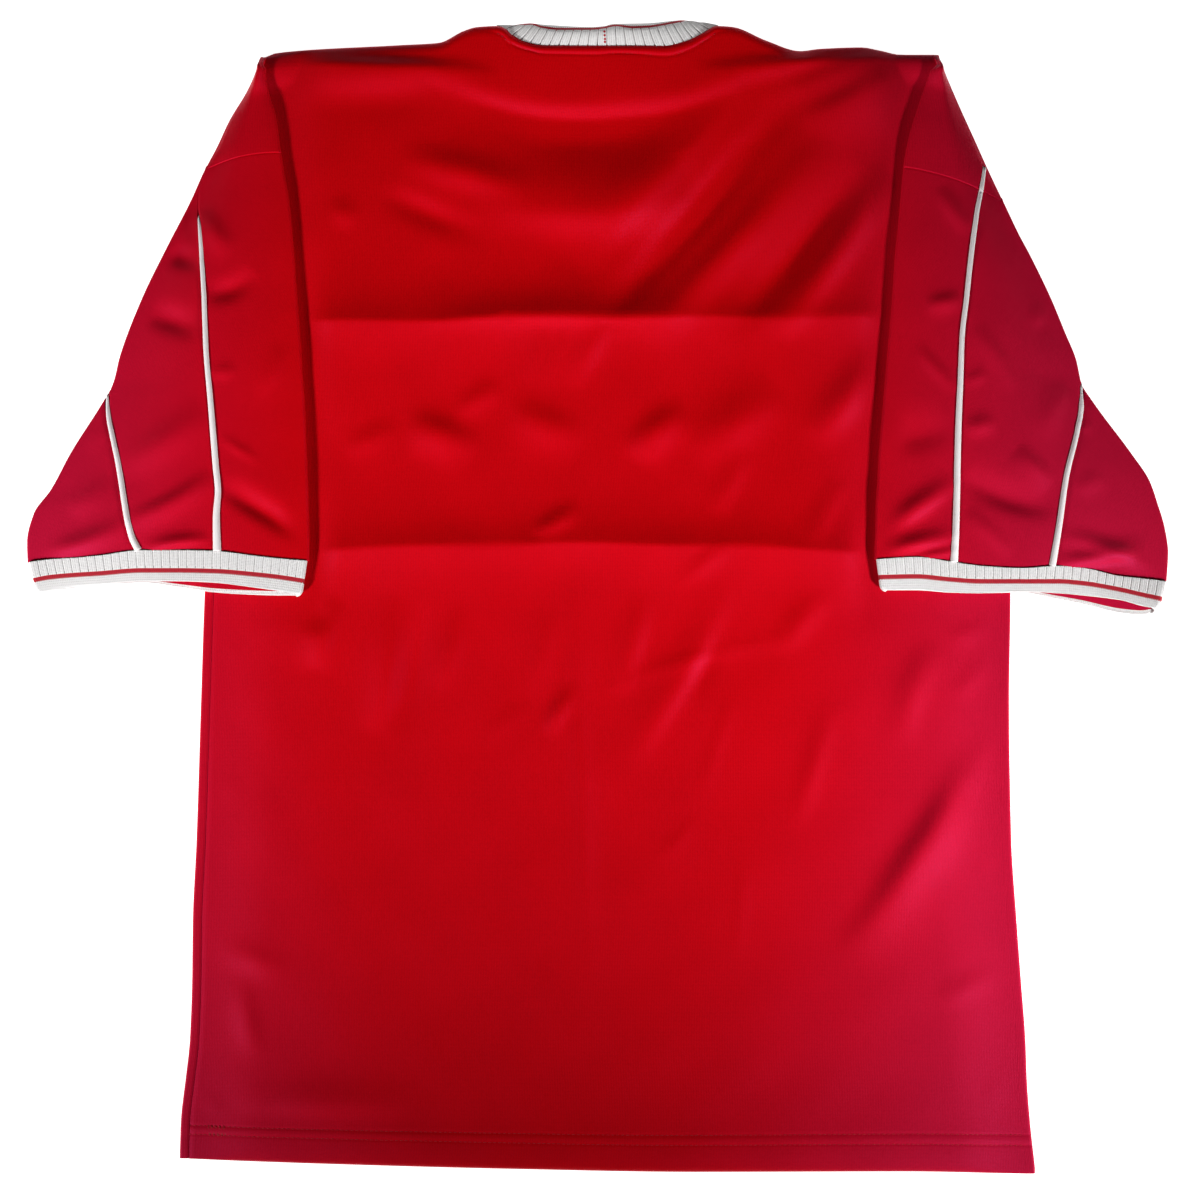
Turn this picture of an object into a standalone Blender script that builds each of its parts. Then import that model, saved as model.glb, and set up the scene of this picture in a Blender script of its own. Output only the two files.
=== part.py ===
"""A football jersey laid flat with its back up, its sleeves brought down over its sides.

+Z is up, +Y points to the neck and the origin is on the floor at the middle of the outline.
The sizes below are millimetres, and MM turns them into metres. Widths run outwards from the
centre line, so the same functions shape the left side (-X) and the right side (+X).
"""

import math

import bpy
import numpy as np

MM = 0.001

# Driving sizes
CLOTH = 1.2  # wall of the red knit
RIB = 2.0  # wall of the collar and the cuffs at the top of a rib
GROOVE = 0.55  # wall between two ribs, as a share of RIB
PLAIN = 0.8  # wall of the plain knit rims, as a share of RIB
GAP = 0.35  # between pieces at a seam
LAYER = 2.6  # from one folded layer of cloth to the next
SIDE_HEIGHT = 3.4  # middle of the back panel's wall along its sides
EDGE_HEIGHT = 2.25  # the same where it comes down on the front panel
SIDE_SEAM_IN = 6.5  # from the body's side to the seam on top of it
UNDER_WRAP = 5.0  # how far the back panel turns under at the right side
PIPING = 1.9  # radius of the piping
UNDERARM_IN = 6.0  # from a sleeve's inner edge to the underarm seam below it
RIB_PITCH = 5.76  # from one rib of a cuff to the next
NECK_MIDDLE = 9.0  # X of the front neckline's middle
NECK_HALF = 78.0
NECK_TOP = 378.0
NECK_DROP = 95.0
NECK_CLEAR = 1.2  # from the collar to the front panel's neckline
SEAM_CLEAR = 0.75  # between two panels whose edges follow each other freely
COLLAR_CLEAR = 0.95  # from the back panel's neckline to the collar
CUFF_CLEAR = 0.8  # from a sleeve to its cuff
CAP_LEFT_Y = 298.0  # where the left cap ends on the side line
CAP_RIGHT_Y = 284.0
CAP_END = 0.0853  # the same as a share of the body's length
HEM_HEIGHT = 2.65  # middle of the back panel's wall at the hem
LEAST_HEIGHT = 2.8  # the same in its deepest creases
INNER_RISE = 3.2  # how much higher it lies away from its sides
PRESSED = 1.0  # share of its folds' height that it loses under the sleeves
SIDE_SLOPE = 45.0  # how far in from its sides it rises by that
YOKE_RISE, YOKE_WIDE, YOKE_LONG = 3.0, 75.0, 60.0  # its swell below the collar
TOP_ROUND, HEM_ROUND, HEM_CALM = 12.0, 16.0, 40.0  # how far in its edges round off
CAP_PUFF = 1.5  # how far a shoulder cap swells on top
CAP_COLUMNS = (0.84, 0.66, 0.48, 0.32, 0.18, 0.09, 0.03, 0.0)  # from its inner to its outer edge
PLEAT_SHUT = 0.6  # how far down a shoulder cap its pleat lies shut
LEAST_TURN = 0.4  # radians that the pleat still turns at the shoulder
LEAST_RUN = 0.6  # between the pleat's two turns
RUN_POWER = 4  # how late that run grows to its full length
FOLD_IN = 2.6  # least way from the cap's outer edge in to the pleat
SLEEVE_PUFF = 3.2
PIPING_END = 1.3  # from a piping's end to the seam
ROUND_THE_EDGE = {"left": 0.56, "right": 0.47}  # how far down the outer piping comes round
FOLD_CLEAR = 1.2  # how much wider the panels part for it in the sleeve's outer fold
THIN_PIPING = 0.4  # under this radius the piping is left out
PIPING_LIFT = 0.5  # from the middle of the cloth's wall up to the middle of the piping
CAP_PIPING = 1.2  # radius of the piping that lies on the shoulder cap
CAP_PIPING_ROWS = (288.5, 283.0, 278.5, 272.0)  # its points' Y
SLOPE_STEP = 0.5  # across which the cap's slope is read under it
FLOOR_CLEAR = 0.05
SLEEVE_COLUMNS = {"back": 13, "band": 12, "front": 15}
ARMHOLE_CROWD, CUFF_CROWD = (0.0, 0.05, 0.7), (1.0, 0.05, 0.9)  # closer rows at a sleeve's ends
CROSSING_CROWD = (0.04, 5.0)  # and where the outer piping comes round the fold
FOLD_CROWD, STEP_CROWD = (2.2, 13.0), (7.0, 2.5)  # closer columns at a fold, and off the body
CUFF_TURN = 0.9  # inner radius of a cuff's folded edges
CUFF_GAPE = {"left": 1.0, "right": 2.6}  # the same at the outer end of its rim
CUFF_ROWS = (0.0, 0.6, 0.66, 1.0)  # shares of the way down a cuff
CUFF_PLAIN = {"under": 12, "home": 7}  # columns of its plain underside and of its inner fold
CUFF_FOLD_CROWD, CUFF_STEP_CROWD = (1.5, 9.0), (7.0, 3.0)
RIB_START = 0.5  # from a cuff's outer and inner edge to its first and last rib
RIB_END = 0.6  # where the ribs stop and the plain rim starts
RIB_PARTS = (0.0, 0.12, 0.88)  # a groove's middle and a rib's two edges, as shares of its pitch
RIM_HEIGHT = 1.6  # inside of the collar's rolled rim, and of its front half on the floor
COLLAR_ROLL = 1.8  # how far the collar's band arches up
COLLAR_TURN = 0.8  # inner radius of the collar's folded ends at its rim
COLLAR_RIBS = 22
COLLAR_SEAM_X = (-67.0, 81.5)  # ends of the collar's back half, along its seam
COLLAR_RIM_X = (-45.0, 63.5)  # and along its rim
RIM_POWER = 1.5  # how fast the band comes away from its seam
ROLL_POWER = 2.4  # how late it drops to its rim
FRONT_RIM_TOP, FRONT_RIM_DROP = 383.0, 78.0  # the rim of the collar's front half
FRONT_RIM_IN = 24.0  # that rim's way in from the seam, at its ends
COLLAR_ROWS = (0.0, 0.3, 0.6, 0.68, 1.0)  # shares of the way from its seam to its rim

RED = (0.55, 0.003, 0.012, 1.0)
WHITE = (0.78, 0.76, 0.75, 1.0)
SIGN = {"left": -1, "right": 1}


# ---------------------------------------------------------------- lines and tables


def line(at, value):
    """A smooth line through the given places that doesn't overshoot, level past its ends."""
    step = np.diff(value) / np.diff(at)
    slope = np.zeros(len(at))
    slope[0], slope[-1] = step[0], step[-1]
    same = step[1:] * step[:-1] > 0
    slope[1:-1][same] = 2 * step[1:][same] * step[:-1][same] / (step[1:] + step[:-1])[same]

    def read(place):
        place = np.clip(place, at[0], at[-1])
        i = np.clip(np.searchsorted(at, place) - 1, 0, len(at) - 2)
        width = at[i + 1] - at[i]
        t = (place - at[i]) / width
        rise = (2 * t**3 - 3 * t**2 + 1) * value[i] + (3 * t**2 - 2 * t**3) * value[i + 1]
        return rise + width * ((t**3 - 2 * t**2 + t) * slope[i] + (t**3 - t**2) * slope[i + 1])

    return read


def table(columns, *rows):
    """Each column but the first, as a smooth line over the first."""
    data = np.array(sorted(rows), float).T
    return {name: line(data[0], data[i]) for i, name in enumerate(columns.split()) if i}


def ease(t):
    t = np.clip(t, 0, 1)
    return t * t * (3 - 2 * t)


def rounded(t):
    """A quarter circle's height from 0 to 1."""
    return np.sqrt(1 - (1 - np.clip(t, 0, 1)) ** 2)


def spread(start, end, count, *peaks):
    """Places from start to end, closer together round each peak (place, width, strength)."""
    fine = np.linspace(start, end, 600)
    crowd = np.ones(len(fine))
    for place, width, strength in peaks:
        crowd = crowd + strength * np.exp(-(((fine - place) / width) ** 2))
    grown = np.concatenate(([0], np.cumsum((crowd[1:] + crowd[:-1]) / 2)))
    return np.interp(np.linspace(0, grown[-1], count), grown, fine)


BODY = table(
    "y left right",
    (363, 225, 229),
    (286, 233, 238),
    (200, 248, 250),
    (99, 258, 265),
    (4, 263.5, 278.5),
    (-70, 266, 277.5),
    (-163, 269, 279),
    (-217, 271.5, 282.5),
    (-258, 272, 285.5),
    (-298, 273.5, 288.5),
    (-325, 276.5, 289.5),
    (-352, 279.5, 291.5),
    (-384, 280.5, 295),
)

TOP = table(
    "x y",
    (-240, 358),
    (-225, 361.5),
    (-214, 365.5),
    (-132, 370.5),
    (-106, 372),
    (-89, 380),
    (-80, 382.5),
    (-67, 383),
    (-62, 381.5),
    (-57, 377),
    (-46, 371.5),
    (-35, 369.5),
    (5, 369.3),
    (45, 369.3),
    (61, 373),
    (73, 379),
    (81, 383),
    (91, 382.5),
    (114, 373.5),
    (137, 366.5),
    (150, 368),
    (178, 369),
    (190, 367),
    (205, 364),
    (228, 364),
    (240, 360),
)["y"]

HEM = table(
    "x y",
    (-281, -377),
    (-184, -380.5),
    (-55, -384),
    (67, -386),
    (208, -385.7),
    (295, -387.5),
)["y"]

EDGES = {
    "left": table(
        "y outer inner",
        (362, 226.5, 224),
        (351, 230, 222),
        (340, 235, 220),
        (320, 247, 214.5),
        (302, 255.5, 212),
        (286, 264, 209.5),
        (266, 273, 206),
        (235, 289, 203),
        (200, 306, 200.5),
        (162, 320.5, 197.5),
        (144, 325, 196.5),
        (131, 332, 195.5),
        (97, 353.5, 194),
        (72, 367, 193),
        (56, 378.5, 192.5),
        (37, 383, 192),
        (10, 382, 193),
    ),
    "right": table(
        "y outer inner",
        (364, 230, 227),
        (351, 235, 223),
        (330, 244, 216),
        (307, 254.5, 209),
        (287, 263.5, 205.5),
        (265, 274, 203.5),
        (243, 284.5, 201.5),
        (230, 291.5, 200),
        (200, 306, 198),
        (177, 315.5, 196),
        (160, 322.5, 194.5),
        (143, 326.5, 193),
        (131, 334, 192),
        (96, 360, 189),
        (78, 372, 188),
        (64, 377, 187),
        (45, 382.5, 186.5),
        (30, 384.5, 186),
        (5, 383, 187),
    ),
}

ARMHOLE = {
    "left": {"outer": 286.5, "inner": 297.5, "bow": 2.6},
    "right": {"outer": 265.0, "inner": 287.5, "bow": 3.0},
}

CUFF = {
    "left": table(
        "out seam near far",
        (193, 24, 0.5, 1),
        (212, 25.5, 3.5, 1),
        (230, 27.5, 6, 1.5),
        (255, 30.5, 9, 3),
        (281, 31, 10, 6.5),
        (304, 31, 10, 9.5),
        (333, 27.5, 8, 8),
        (350, 26, 6.5, 6),
        (367, 25, 4, 4),
        (382.5, 23, 2, 2.5),
    ),
    "right": table(
        "out seam near far",
        (187, 25, 4.5, 4.5),
        (214, 26.5, 4.5, 4.5),
        (236, 23.5, 2.5, 3),
        (257, 20.5, 2, 2.5),
        (284, 19, 3, 3),
        (308, 20.5, 2, -1),
        (326, 19, 0.5, -4.5),
        (351, 13.5, -2.5, -10.5),
        (366, 12, -6.5, -12),
        (383, 10, -9, -7),
    ),
}
CUFF_ENDS = {
    "left": {"outer": (382.3, 377.5), "inner": (192.6, 196)},
    "right": {"outer": (384, 379), "inner": (186.2, 189)},
}

# The piping's way down each sleeve. Where its width is past the sleeve's outer edge it has
# gone round that edge, by as much, and lies below. Thickness is a share of PIPING, and is 0
# where the back panel folds over the piping's end and hides it.
PIPINGS = {
    "left_inner": table(
        "y out thickness",
        (286, 262.5, 0),
        (272, 267.3, 0),
        (260, 267.2, 0),
        (254, 266.6, 0.4),
        (248, 265.8, 0.85),
        (239, 265, 1),
        (200, 262.5, 1),
        (165, 261, 1),
        (131, 258, 1),
        (88, 254.5, 1),
        (71, 253, 1),
        (54, 254, 1),
        (31, 253.5, 1),
    ),
    "left_outer": table(
        "y out thickness",
        (290, 276, 0.45),
        (245, 304, 0.45),
        (200, 323, 0.45),
        (170, 326, 0.4),
        (150, 328, 0.35),
        (140, 328.5, 0.35),
        (132, 328.5, 0.5),
        (121, 327.5, 1),
        (107, 324.5, 1),
        (90, 320.5, 1),
        (54, 314, 1),
        (40, 310.5, 1),
        (31, 306, 1),
    ),
    "right_inner": table(
        "y out thickness",
        (290, 261.4, 0.75),
        (283, 260.3, 0.75),
        (272, 257.6, 0.75),
        (259, 253.5, 1),
        (230, 249.5, 1),
        (200, 247.5, 1),
        (174, 244.5, 1),
        (148, 243.5, 1),
        (114, 242, 1),
        (54, 240.5, 1),
        (23, 239, 1),
    ),
    "right_outer": table(
        "y out thickness",
        (268, 286, 0.45),
        (243, 303, 0.45),
        (200, 323, 0.45),
        (175, 325, 0.4),
        (155, 327.5, 0.35),
        (146, 326, 0.32),
        (138, 325.8, 0.4),
        (128, 325.5, 0.95),
        (112, 322.5, 1),
        (81, 314.5, 1),
        (49, 309.5, 1),
        (20, 304.5, 1),
    ),
}

# Folds of the back: a ridge (or a trough, where its height is below 0) along the curve from
# (x0, y0) to (x1, y1) that bends towards (xm, ym). It falls off over the left and right width,
# seen along the curve.
FOLD_COLUMNS = "x0 y0 xm ym x1 y1 height left right".split()
BACK_FOLDS = (
    (-132, 351, 2, 281, 130, 357, -4.4, 9, 28),
    (-85, 270, 2, 246, 63, 274, 3.2, 32, 16),
    (137, 316, 177, 334, 214, 361, 2.6, 10, 20),
    (-14, 221, 43, 287, 100, 345, 2.2, 22, 12),
    (2, 182, 70, 260, 137, 339, -3.4, 12, 11),
    (29, 170, 100, 240, 154, 308, 2.4, 12, 13),
    (88, 173, 137, 234, 177, 289, -2, 11, 10),
    (120, 174, 171, 240, 208, 301, 3, 12, 10),
    (-233, 353, -146, 360, -65, 348, 2.4, 8, 22),
    (63, 352, 137, 357, 224, 360, 2, 8, 16),
    (-502, 182, 2, 186, 507, 192, 4.2, 18, 21),
    (-502, -2, -4, 76, 507, -6, 4.2, 18, 21),
    (-129, 116, -105, 112, -80, 95, 1.8, 11, 13),
    (24, 92, 36, 112, 62, 125, 1.8, 11, 12),
    (63, 94, 93, 116, 123, 139, 1.7, 15, 13),
    (145, 102, 171, 136, 196, 169, 2.2, 12, 11),
    (-187, -50, -185, -26, -174, -1, 1.8, 13, 10),
    (21, -115, 56, -63, 91, 7, 1.2, 13, 9),
    (163, -244, 224, -170, 261, -93, 3.8, 12, 19),
)
SLEEVE_FOLDS = {
    "left": (
        (-263, 204, -245, 200, -229, 219, -1.4, 8, 8),
        (-303, 190, -287, 185, -264, 177, -1.4, 9, 8),
        (-319, 85, -290, 102, -261, 125, 1.5, 9, 11),
        (-318, 49, -282, 60, -257, 83, 1.6, 7, 8),
        (-376, 29, -341, 33, -314, 52, 1.4, 7, 7),
        (-253, 75, -232, 60, -191, 38, -1.6, 8, 7),
    ),
    "right": (
        (195, 106, 214, 106, 239, 116, -1.4, 14, 10),
        (188, 44, 214, 57, 241, 79, 1.6, 8, 7),
        (245, 81, 270, 61, 309, 60, -1.7, 10, 8),
        (281, 99, 290, 90, 304, 75, 1.2, 7, 9),
        (307, 23, 336, 23, 367, 33, 1.6, 8, 6),
    ),
}


def fold_height(x, y, folds):
    """How far the folds lift the cloth at these places."""
    total = np.zeros(np.broadcast(x, y).shape)
    for row in folds:
        fold = dict(zip(FOLD_COLUMNS, row))
        nearest = np.full(total.shape, np.inf)
        lift, width = np.zeros(total.shape), np.ones(total.shape)
        for t in np.linspace(0, 1, 41):
            px = (1 - t) ** 2 * fold["x0"] + 2 * t * (1 - t) * fold["xm"] + t * t * fold["x1"]
            py = (1 - t) ** 2 * fold["y0"] + 2 * t * (1 - t) * fold["ym"] + t * t * fold["y1"]
            run_x = (1 - t) * (fold["xm"] - fold["x0"]) + t * (fold["x1"] - fold["xm"])
            run_y = (1 - t) * (fold["ym"] - fold["y0"]) + t * (fold["y1"] - fold["ym"])
            away = np.hypot(x - px, y - py)
            is_left = run_x * (y - py) - run_y * (x - px) > 0
            closer = away < nearest
            nearest = np.where(closer, away, nearest)
            lift = np.where(closer, fold["height"] * math.sin(math.pi * t) ** 1.1, lift)
            side = np.where(is_left, fold["left"], fold["right"])
            width = np.where(closer, side, width)
        total = total + lift * np.exp(-((nearest / width) ** 2))
    return total


# ---------------------------------------------------------------- the body's two panels

NECK_EDGE = table(
    "x height",
    (-125, 2.25),
    (-100, 2.5),
    (-80, 3.4),
    (-67, 4.3),
    (-50, 6.0),
    (-30, 7.2),
    (9, 7.6),
    (50, 7.2),
    (66, 6.0),
    (84, 4.3),
    (98, 3.4),
    (120, 2.5),
    (140, 2.25),
)["height"]


def front_top(x):
    """The front panel's upper edge: the shoulders, and the front neckline between them."""
    across = np.clip(np.abs(x - NECK_MIDDLE) / (NECK_HALF + NECK_CLEAR), 0, 1)
    neck = NECK_TOP - (NECK_DROP + NECK_CLEAR) * np.sqrt(1 - across**2)
    return np.where(across < 1, np.minimum(neck, TOP(x)), TOP(x))


def unpressed(x, y):
    """Share of its folds that the back panel keeps: less of them under the sleeves."""
    inner = np.where(x < 0, EDGES["left"]["inner"](y), EDGES["right"]["inner"](y))
    covered = ease((np.abs(x) - inner + 20) / 16) * ease((y + 28) / 18)
    return 1 - PRESSED * covered


def back_height(x, y):
    """Height of the middle of the back panel's wall."""
    from_top = TOP(x) - y
    from_hem = y - HEM(x)
    from_side = np.where(x < 0, x + BODY["left"](y), BODY["right"](y) - x)
    inside = ease((from_side - SIDE_SEAM_IN) / SIDE_SLOPE)
    yoke = np.exp(-(((x - NECK_MIDDLE) / YOKE_WIDE) ** 2) - (from_top / YOKE_LONG) ** 2)
    full = SIDE_HEIGHT + INNER_RISE * inside + YOKE_RISE * yoke
    folds = fold_height(x, y, BACK_FOLDS) * unpressed(x, y)
    full = full + folds * inside * ease(from_hem / HEM_CALM)
    full = np.maximum(full, LEAST_HEIGHT)
    edge = NECK_EDGE(x)
    height = edge + (full - edge) * rounded(from_top / TOP_ROUND)
    return HEM_HEIGHT + (height - HEM_HEIGHT) * rounded(from_hem / HEM_ROUND)


def row_y(x, across, down, top):
    """Y of a row. The right cap reaches lower than the left one, so the rows slant there."""
    slant = ease(down / CAP_END) * (1 - ease((down - CAP_END) / 0.3))
    return top(x) + (HEM(x) - top(x)) * down - (CAP_LEFT_Y - CAP_RIGHT_Y) * across * slant


def shoulder_inset(y):
    """From the body's side in to the back panel's main sheet: wider where the pleat opens out."""
    return SIDE_SEAM_IN + 20.5 * (1 - ease((362 - y) / 50))


def sheet_grid(rows, columns, inset_left, inset_right, top=TOP):
    """X and Y of a main sheet. Columns and rows are shares of its width and length."""
    x = np.zeros((len(rows), len(columns)))
    y = np.zeros_like(x)
    even = np.linspace(0, 1, len(columns))
    for i, down in enumerate(rows):
        across = columns + (even - columns) * ease((down - 0.05) / 0.3)
        reach = []
        for side, inset, end in (("left", inset_left, 0.0), ("right", inset_right, 1.0)):
            level = TOP(0.0) * (1 - down) + HEM(0.0) * down
            for _ in range(4):
                out = float(BODY[side](level) - inset(level))
                level = float(row_y(SIGN[side] * out, end, down, TOP))
            reach.append(SIGN[side] * out)
        x[i] = reach[0] + (reach[1] - reach[0]) * across
        y[i] = row_y(x[i], across, down, top)
    return x, y


def cap_height(f):
    """Height of the shoulder cap's upper layer at share f from its outer to its inner edge."""
    roof = upper_height(f, CLOTH / 2 + LAYER, SIDE_HEIGHT + 2 * LAYER, CAP_PUFF)
    return EDGE_HEIGHT + (roof - EDGE_HEIGHT) * rounded(f / 0.2)


def cap_row(side, w):
    """Outer and inner end of the cap's upper layer, w of the way down to the armhole seam."""
    hole = ARMHOLE[side]
    outer_y = 363 + (hole["outer"] + GAP - 363) * w
    inner_y = 362.5 + (hole["inner"] + GAP - 362.5) * w
    outer = float(EDGES[side]["outer"](outer_y)) - CLOTH / 2
    inner = float(EDGES[side]["inner"](inner_y)) + CLOTH / 2
    return outer, outer_y, inner, inner_y


def pleat(side, rows_down, x, y, z):
    """The shoulder cap. The sheet turns back at the body's side and on again at the cap's inner
    edge, then runs on top to the sleeve's outer edge. Up at the shoulder the turns open out."""
    grid = []
    for i, down in enumerate(rows_down):
        w = down / CAP_END
        outer, outer_y, inner, inner_y = cap_row(side, w)
        opened = 1 - min(w / PLEAT_SHUT, 1)
        radius = LAYER / 2
        angle = np.linspace(0, math.pi - (math.pi - LEAST_TURN) * opened, 5)
        across, up = radius * np.sin(angle), radius * (1 - np.cos(angle))
        start = SIGN[side] * x[i]
        side_line = float(BODY[side](y[i])) - CLOTH / 2
        turn = min(side_line - radius, outer - FOLD_IN - 2 * across[-1])
        run = max((turn - inner - radius) * (1 - opened) ** RUN_POWER, LEAST_RUN)
        run_out, run_up = run * math.cos(angle[-1]), run * math.sin(angle[-1])
        back = turn + 2 * across[-1] + run_out
        roof = z[i] + 2 * up[-1] + run_up
        drop = float(TOP(SIGN[side] * turn) - TOP(SIGN[side] * start)) * (1 - w) ** 2
        rows = [(start, y[i], z[i]), ((start + turn) / 2, y[i] + drop / 2, z[i])]
        rows += [(turn + out, y[i] + drop, z[i] + rise) for out, rise in zip(across, up)]
        middle_y = (y[i] + drop + inner_y) / 2
        rows.append((turn + across[-1] + run_out / 2, middle_y, z[i] + up[-1] + run_up / 2))
        rows += [(back - out, inner_y, roof - rise) for out, rise in zip(across[::-1], up[::-1])]
        share = (roof - EDGE_HEIGHT) / float(cap_height(1) - EDGE_HEIGHT)
        for f in CAP_COLUMNS:
            bow = 4 * ARMHOLE[side]["bow"] * f * (1 - f) * w
            height = EDGE_HEIGHT + float(cap_height(f) - EDGE_HEIGHT) * share
            rows.append((outer + (back - outer) * f, outer_y + (inner_y - outer_y) * f + bow, height))
        grid.append(rows)
    grid = np.array(grid)
    grid[:, :, 0] *= SIGN[side]
    grid[0, :, 1] = TOP(grid[0, :, 0])
    return grid if side == "right" else grid[:, ::-1]


def side_turn(side, y, z):
    """The sheet's way round the body's side, from the seam on top to UNDER_WRAP below."""
    grid = []
    for level, height in zip(y, z):
        radius = (height - CLOTH / 2) / 2
        body = float(BODY[side](level))
        middle = body - CLOTH / 2 - radius
        row = [(body - SIDE_SEAM_IN, level, height)]
        for t in np.radians(np.linspace(90, -90, 5)):
            row.append((middle + radius * math.cos(t), level, CLOTH / 2 + radius + radius * math.sin(t)))
        row.append((body - UNDER_WRAP, level, CLOTH / 2))
        grid.append(row)
    grid = np.array(grid)
    grid[:, :, 0] *= SIGN[side]
    return grid


def body_rows(step=1):
    """Shares of the way down the body, and the number of the last row of the shoulder caps.
    The front panel takes every second row of the back panel's, so that their edges match."""
    caps = 9
    cap = spread(0, CAP_END, caps, (0, 0.02, 1.0))
    below = spread(CAP_END, 1, 21, (0.3, 0.08, 1.5), (0.44, 0.02, 1.5), (1, 0.02, 3))
    return np.concatenate((cap, below[1:]))[::step], (caps - 1) // step


def back_panel():
    rows, last = body_rows()
    columns = spread(0, 1, 29, (0.355, 0.035, 2.2), (0.665, 0.035, 2.2))
    x, y = sheet_grid(rows, columns, shoulder_inset, shoulder_inset)
    z = back_height(x, y)
    turned = side_turn("right", y[last + 1 :, -1], z[last + 1 :, -1])
    turned[:, 0, 0] = x[last + 1 :, -1]
    caps = [
        pleat("left", rows[: last + 1], x[:, 0], y[:, 0], z[:, 0]),
        pleat("right", rows[: last + 1], x[:, -1], y[:, -1], z[:, -1]),
    ]
    x[last + 1 :, 0] += SEAM_CLEAR
    return [np.stack((x, y, z), axis=2), *caps, turned]


def front_panel():
    rows, last = body_rows(2)
    floor = CLOTH / 2
    neck = NECK_MIDDLE - (NECK_HALF + NECK_CLEAR) * np.cos(np.linspace(0, math.pi, 12))
    places = np.concatenate(([-220, -170, -120, -90], neck, [110, 140, 180, 223.6]))
    columns = (places - places[0]) / (places[-1] - places[0])
    right_end = UNDER_WRAP + SEAM_CLEAR
    x, y = sheet_grid(rows, columns, lambda _: UNDER_WRAP, lambda _: right_end, front_top)
    patches = [np.stack((x, y, np.full(x.shape, floor)), axis=2)]
    for side, edge in (("left", 0), ("right", -1)):
        grid = []
        for i in range(last + 1):
            w = i / last
            outer, outer_y, _, _ = cap_row(side, w)
            t = np.linspace(0, 1, 5)
            out = SIGN[side] * x[i, edge] + (outer - SIGN[side] * x[i, edge]) * t
            level = y[i, edge] + (outer_y - y[i, edge]) * t
            level = level if i else TOP(SIGN[side] * out)
            grid.append(np.stack((SIGN[side] * out, level, np.full(5, floor)), axis=1))
        patches.append(np.array(grid) if edge else np.array(grid)[:, ::-1])
    level = y[last + 1 :, 0]
    seam = back_height(-BODY["left"](level) + SIDE_SEAM_IN, level)
    turned = side_turn("left", level, seam)
    turned[:, -1, 0] = x[last + 1 :, 0]
    return [*patches, turned]


# ---------------------------------------------------------------- sleeves, piping and cuffs


def upper_height(f, outer, inner, puff):
    """Height of a sleeve's upper layer at share f from its outer to its inner edge."""
    return outer + (inner - outer) * ease(f / 0.5) + puff * 4 * f * (1 - f)


def body_rise(side, out, y):
    """0 beside the body and 1 on top of it."""
    return ease((BODY[side](y) + 14 - out) / 12)


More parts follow.
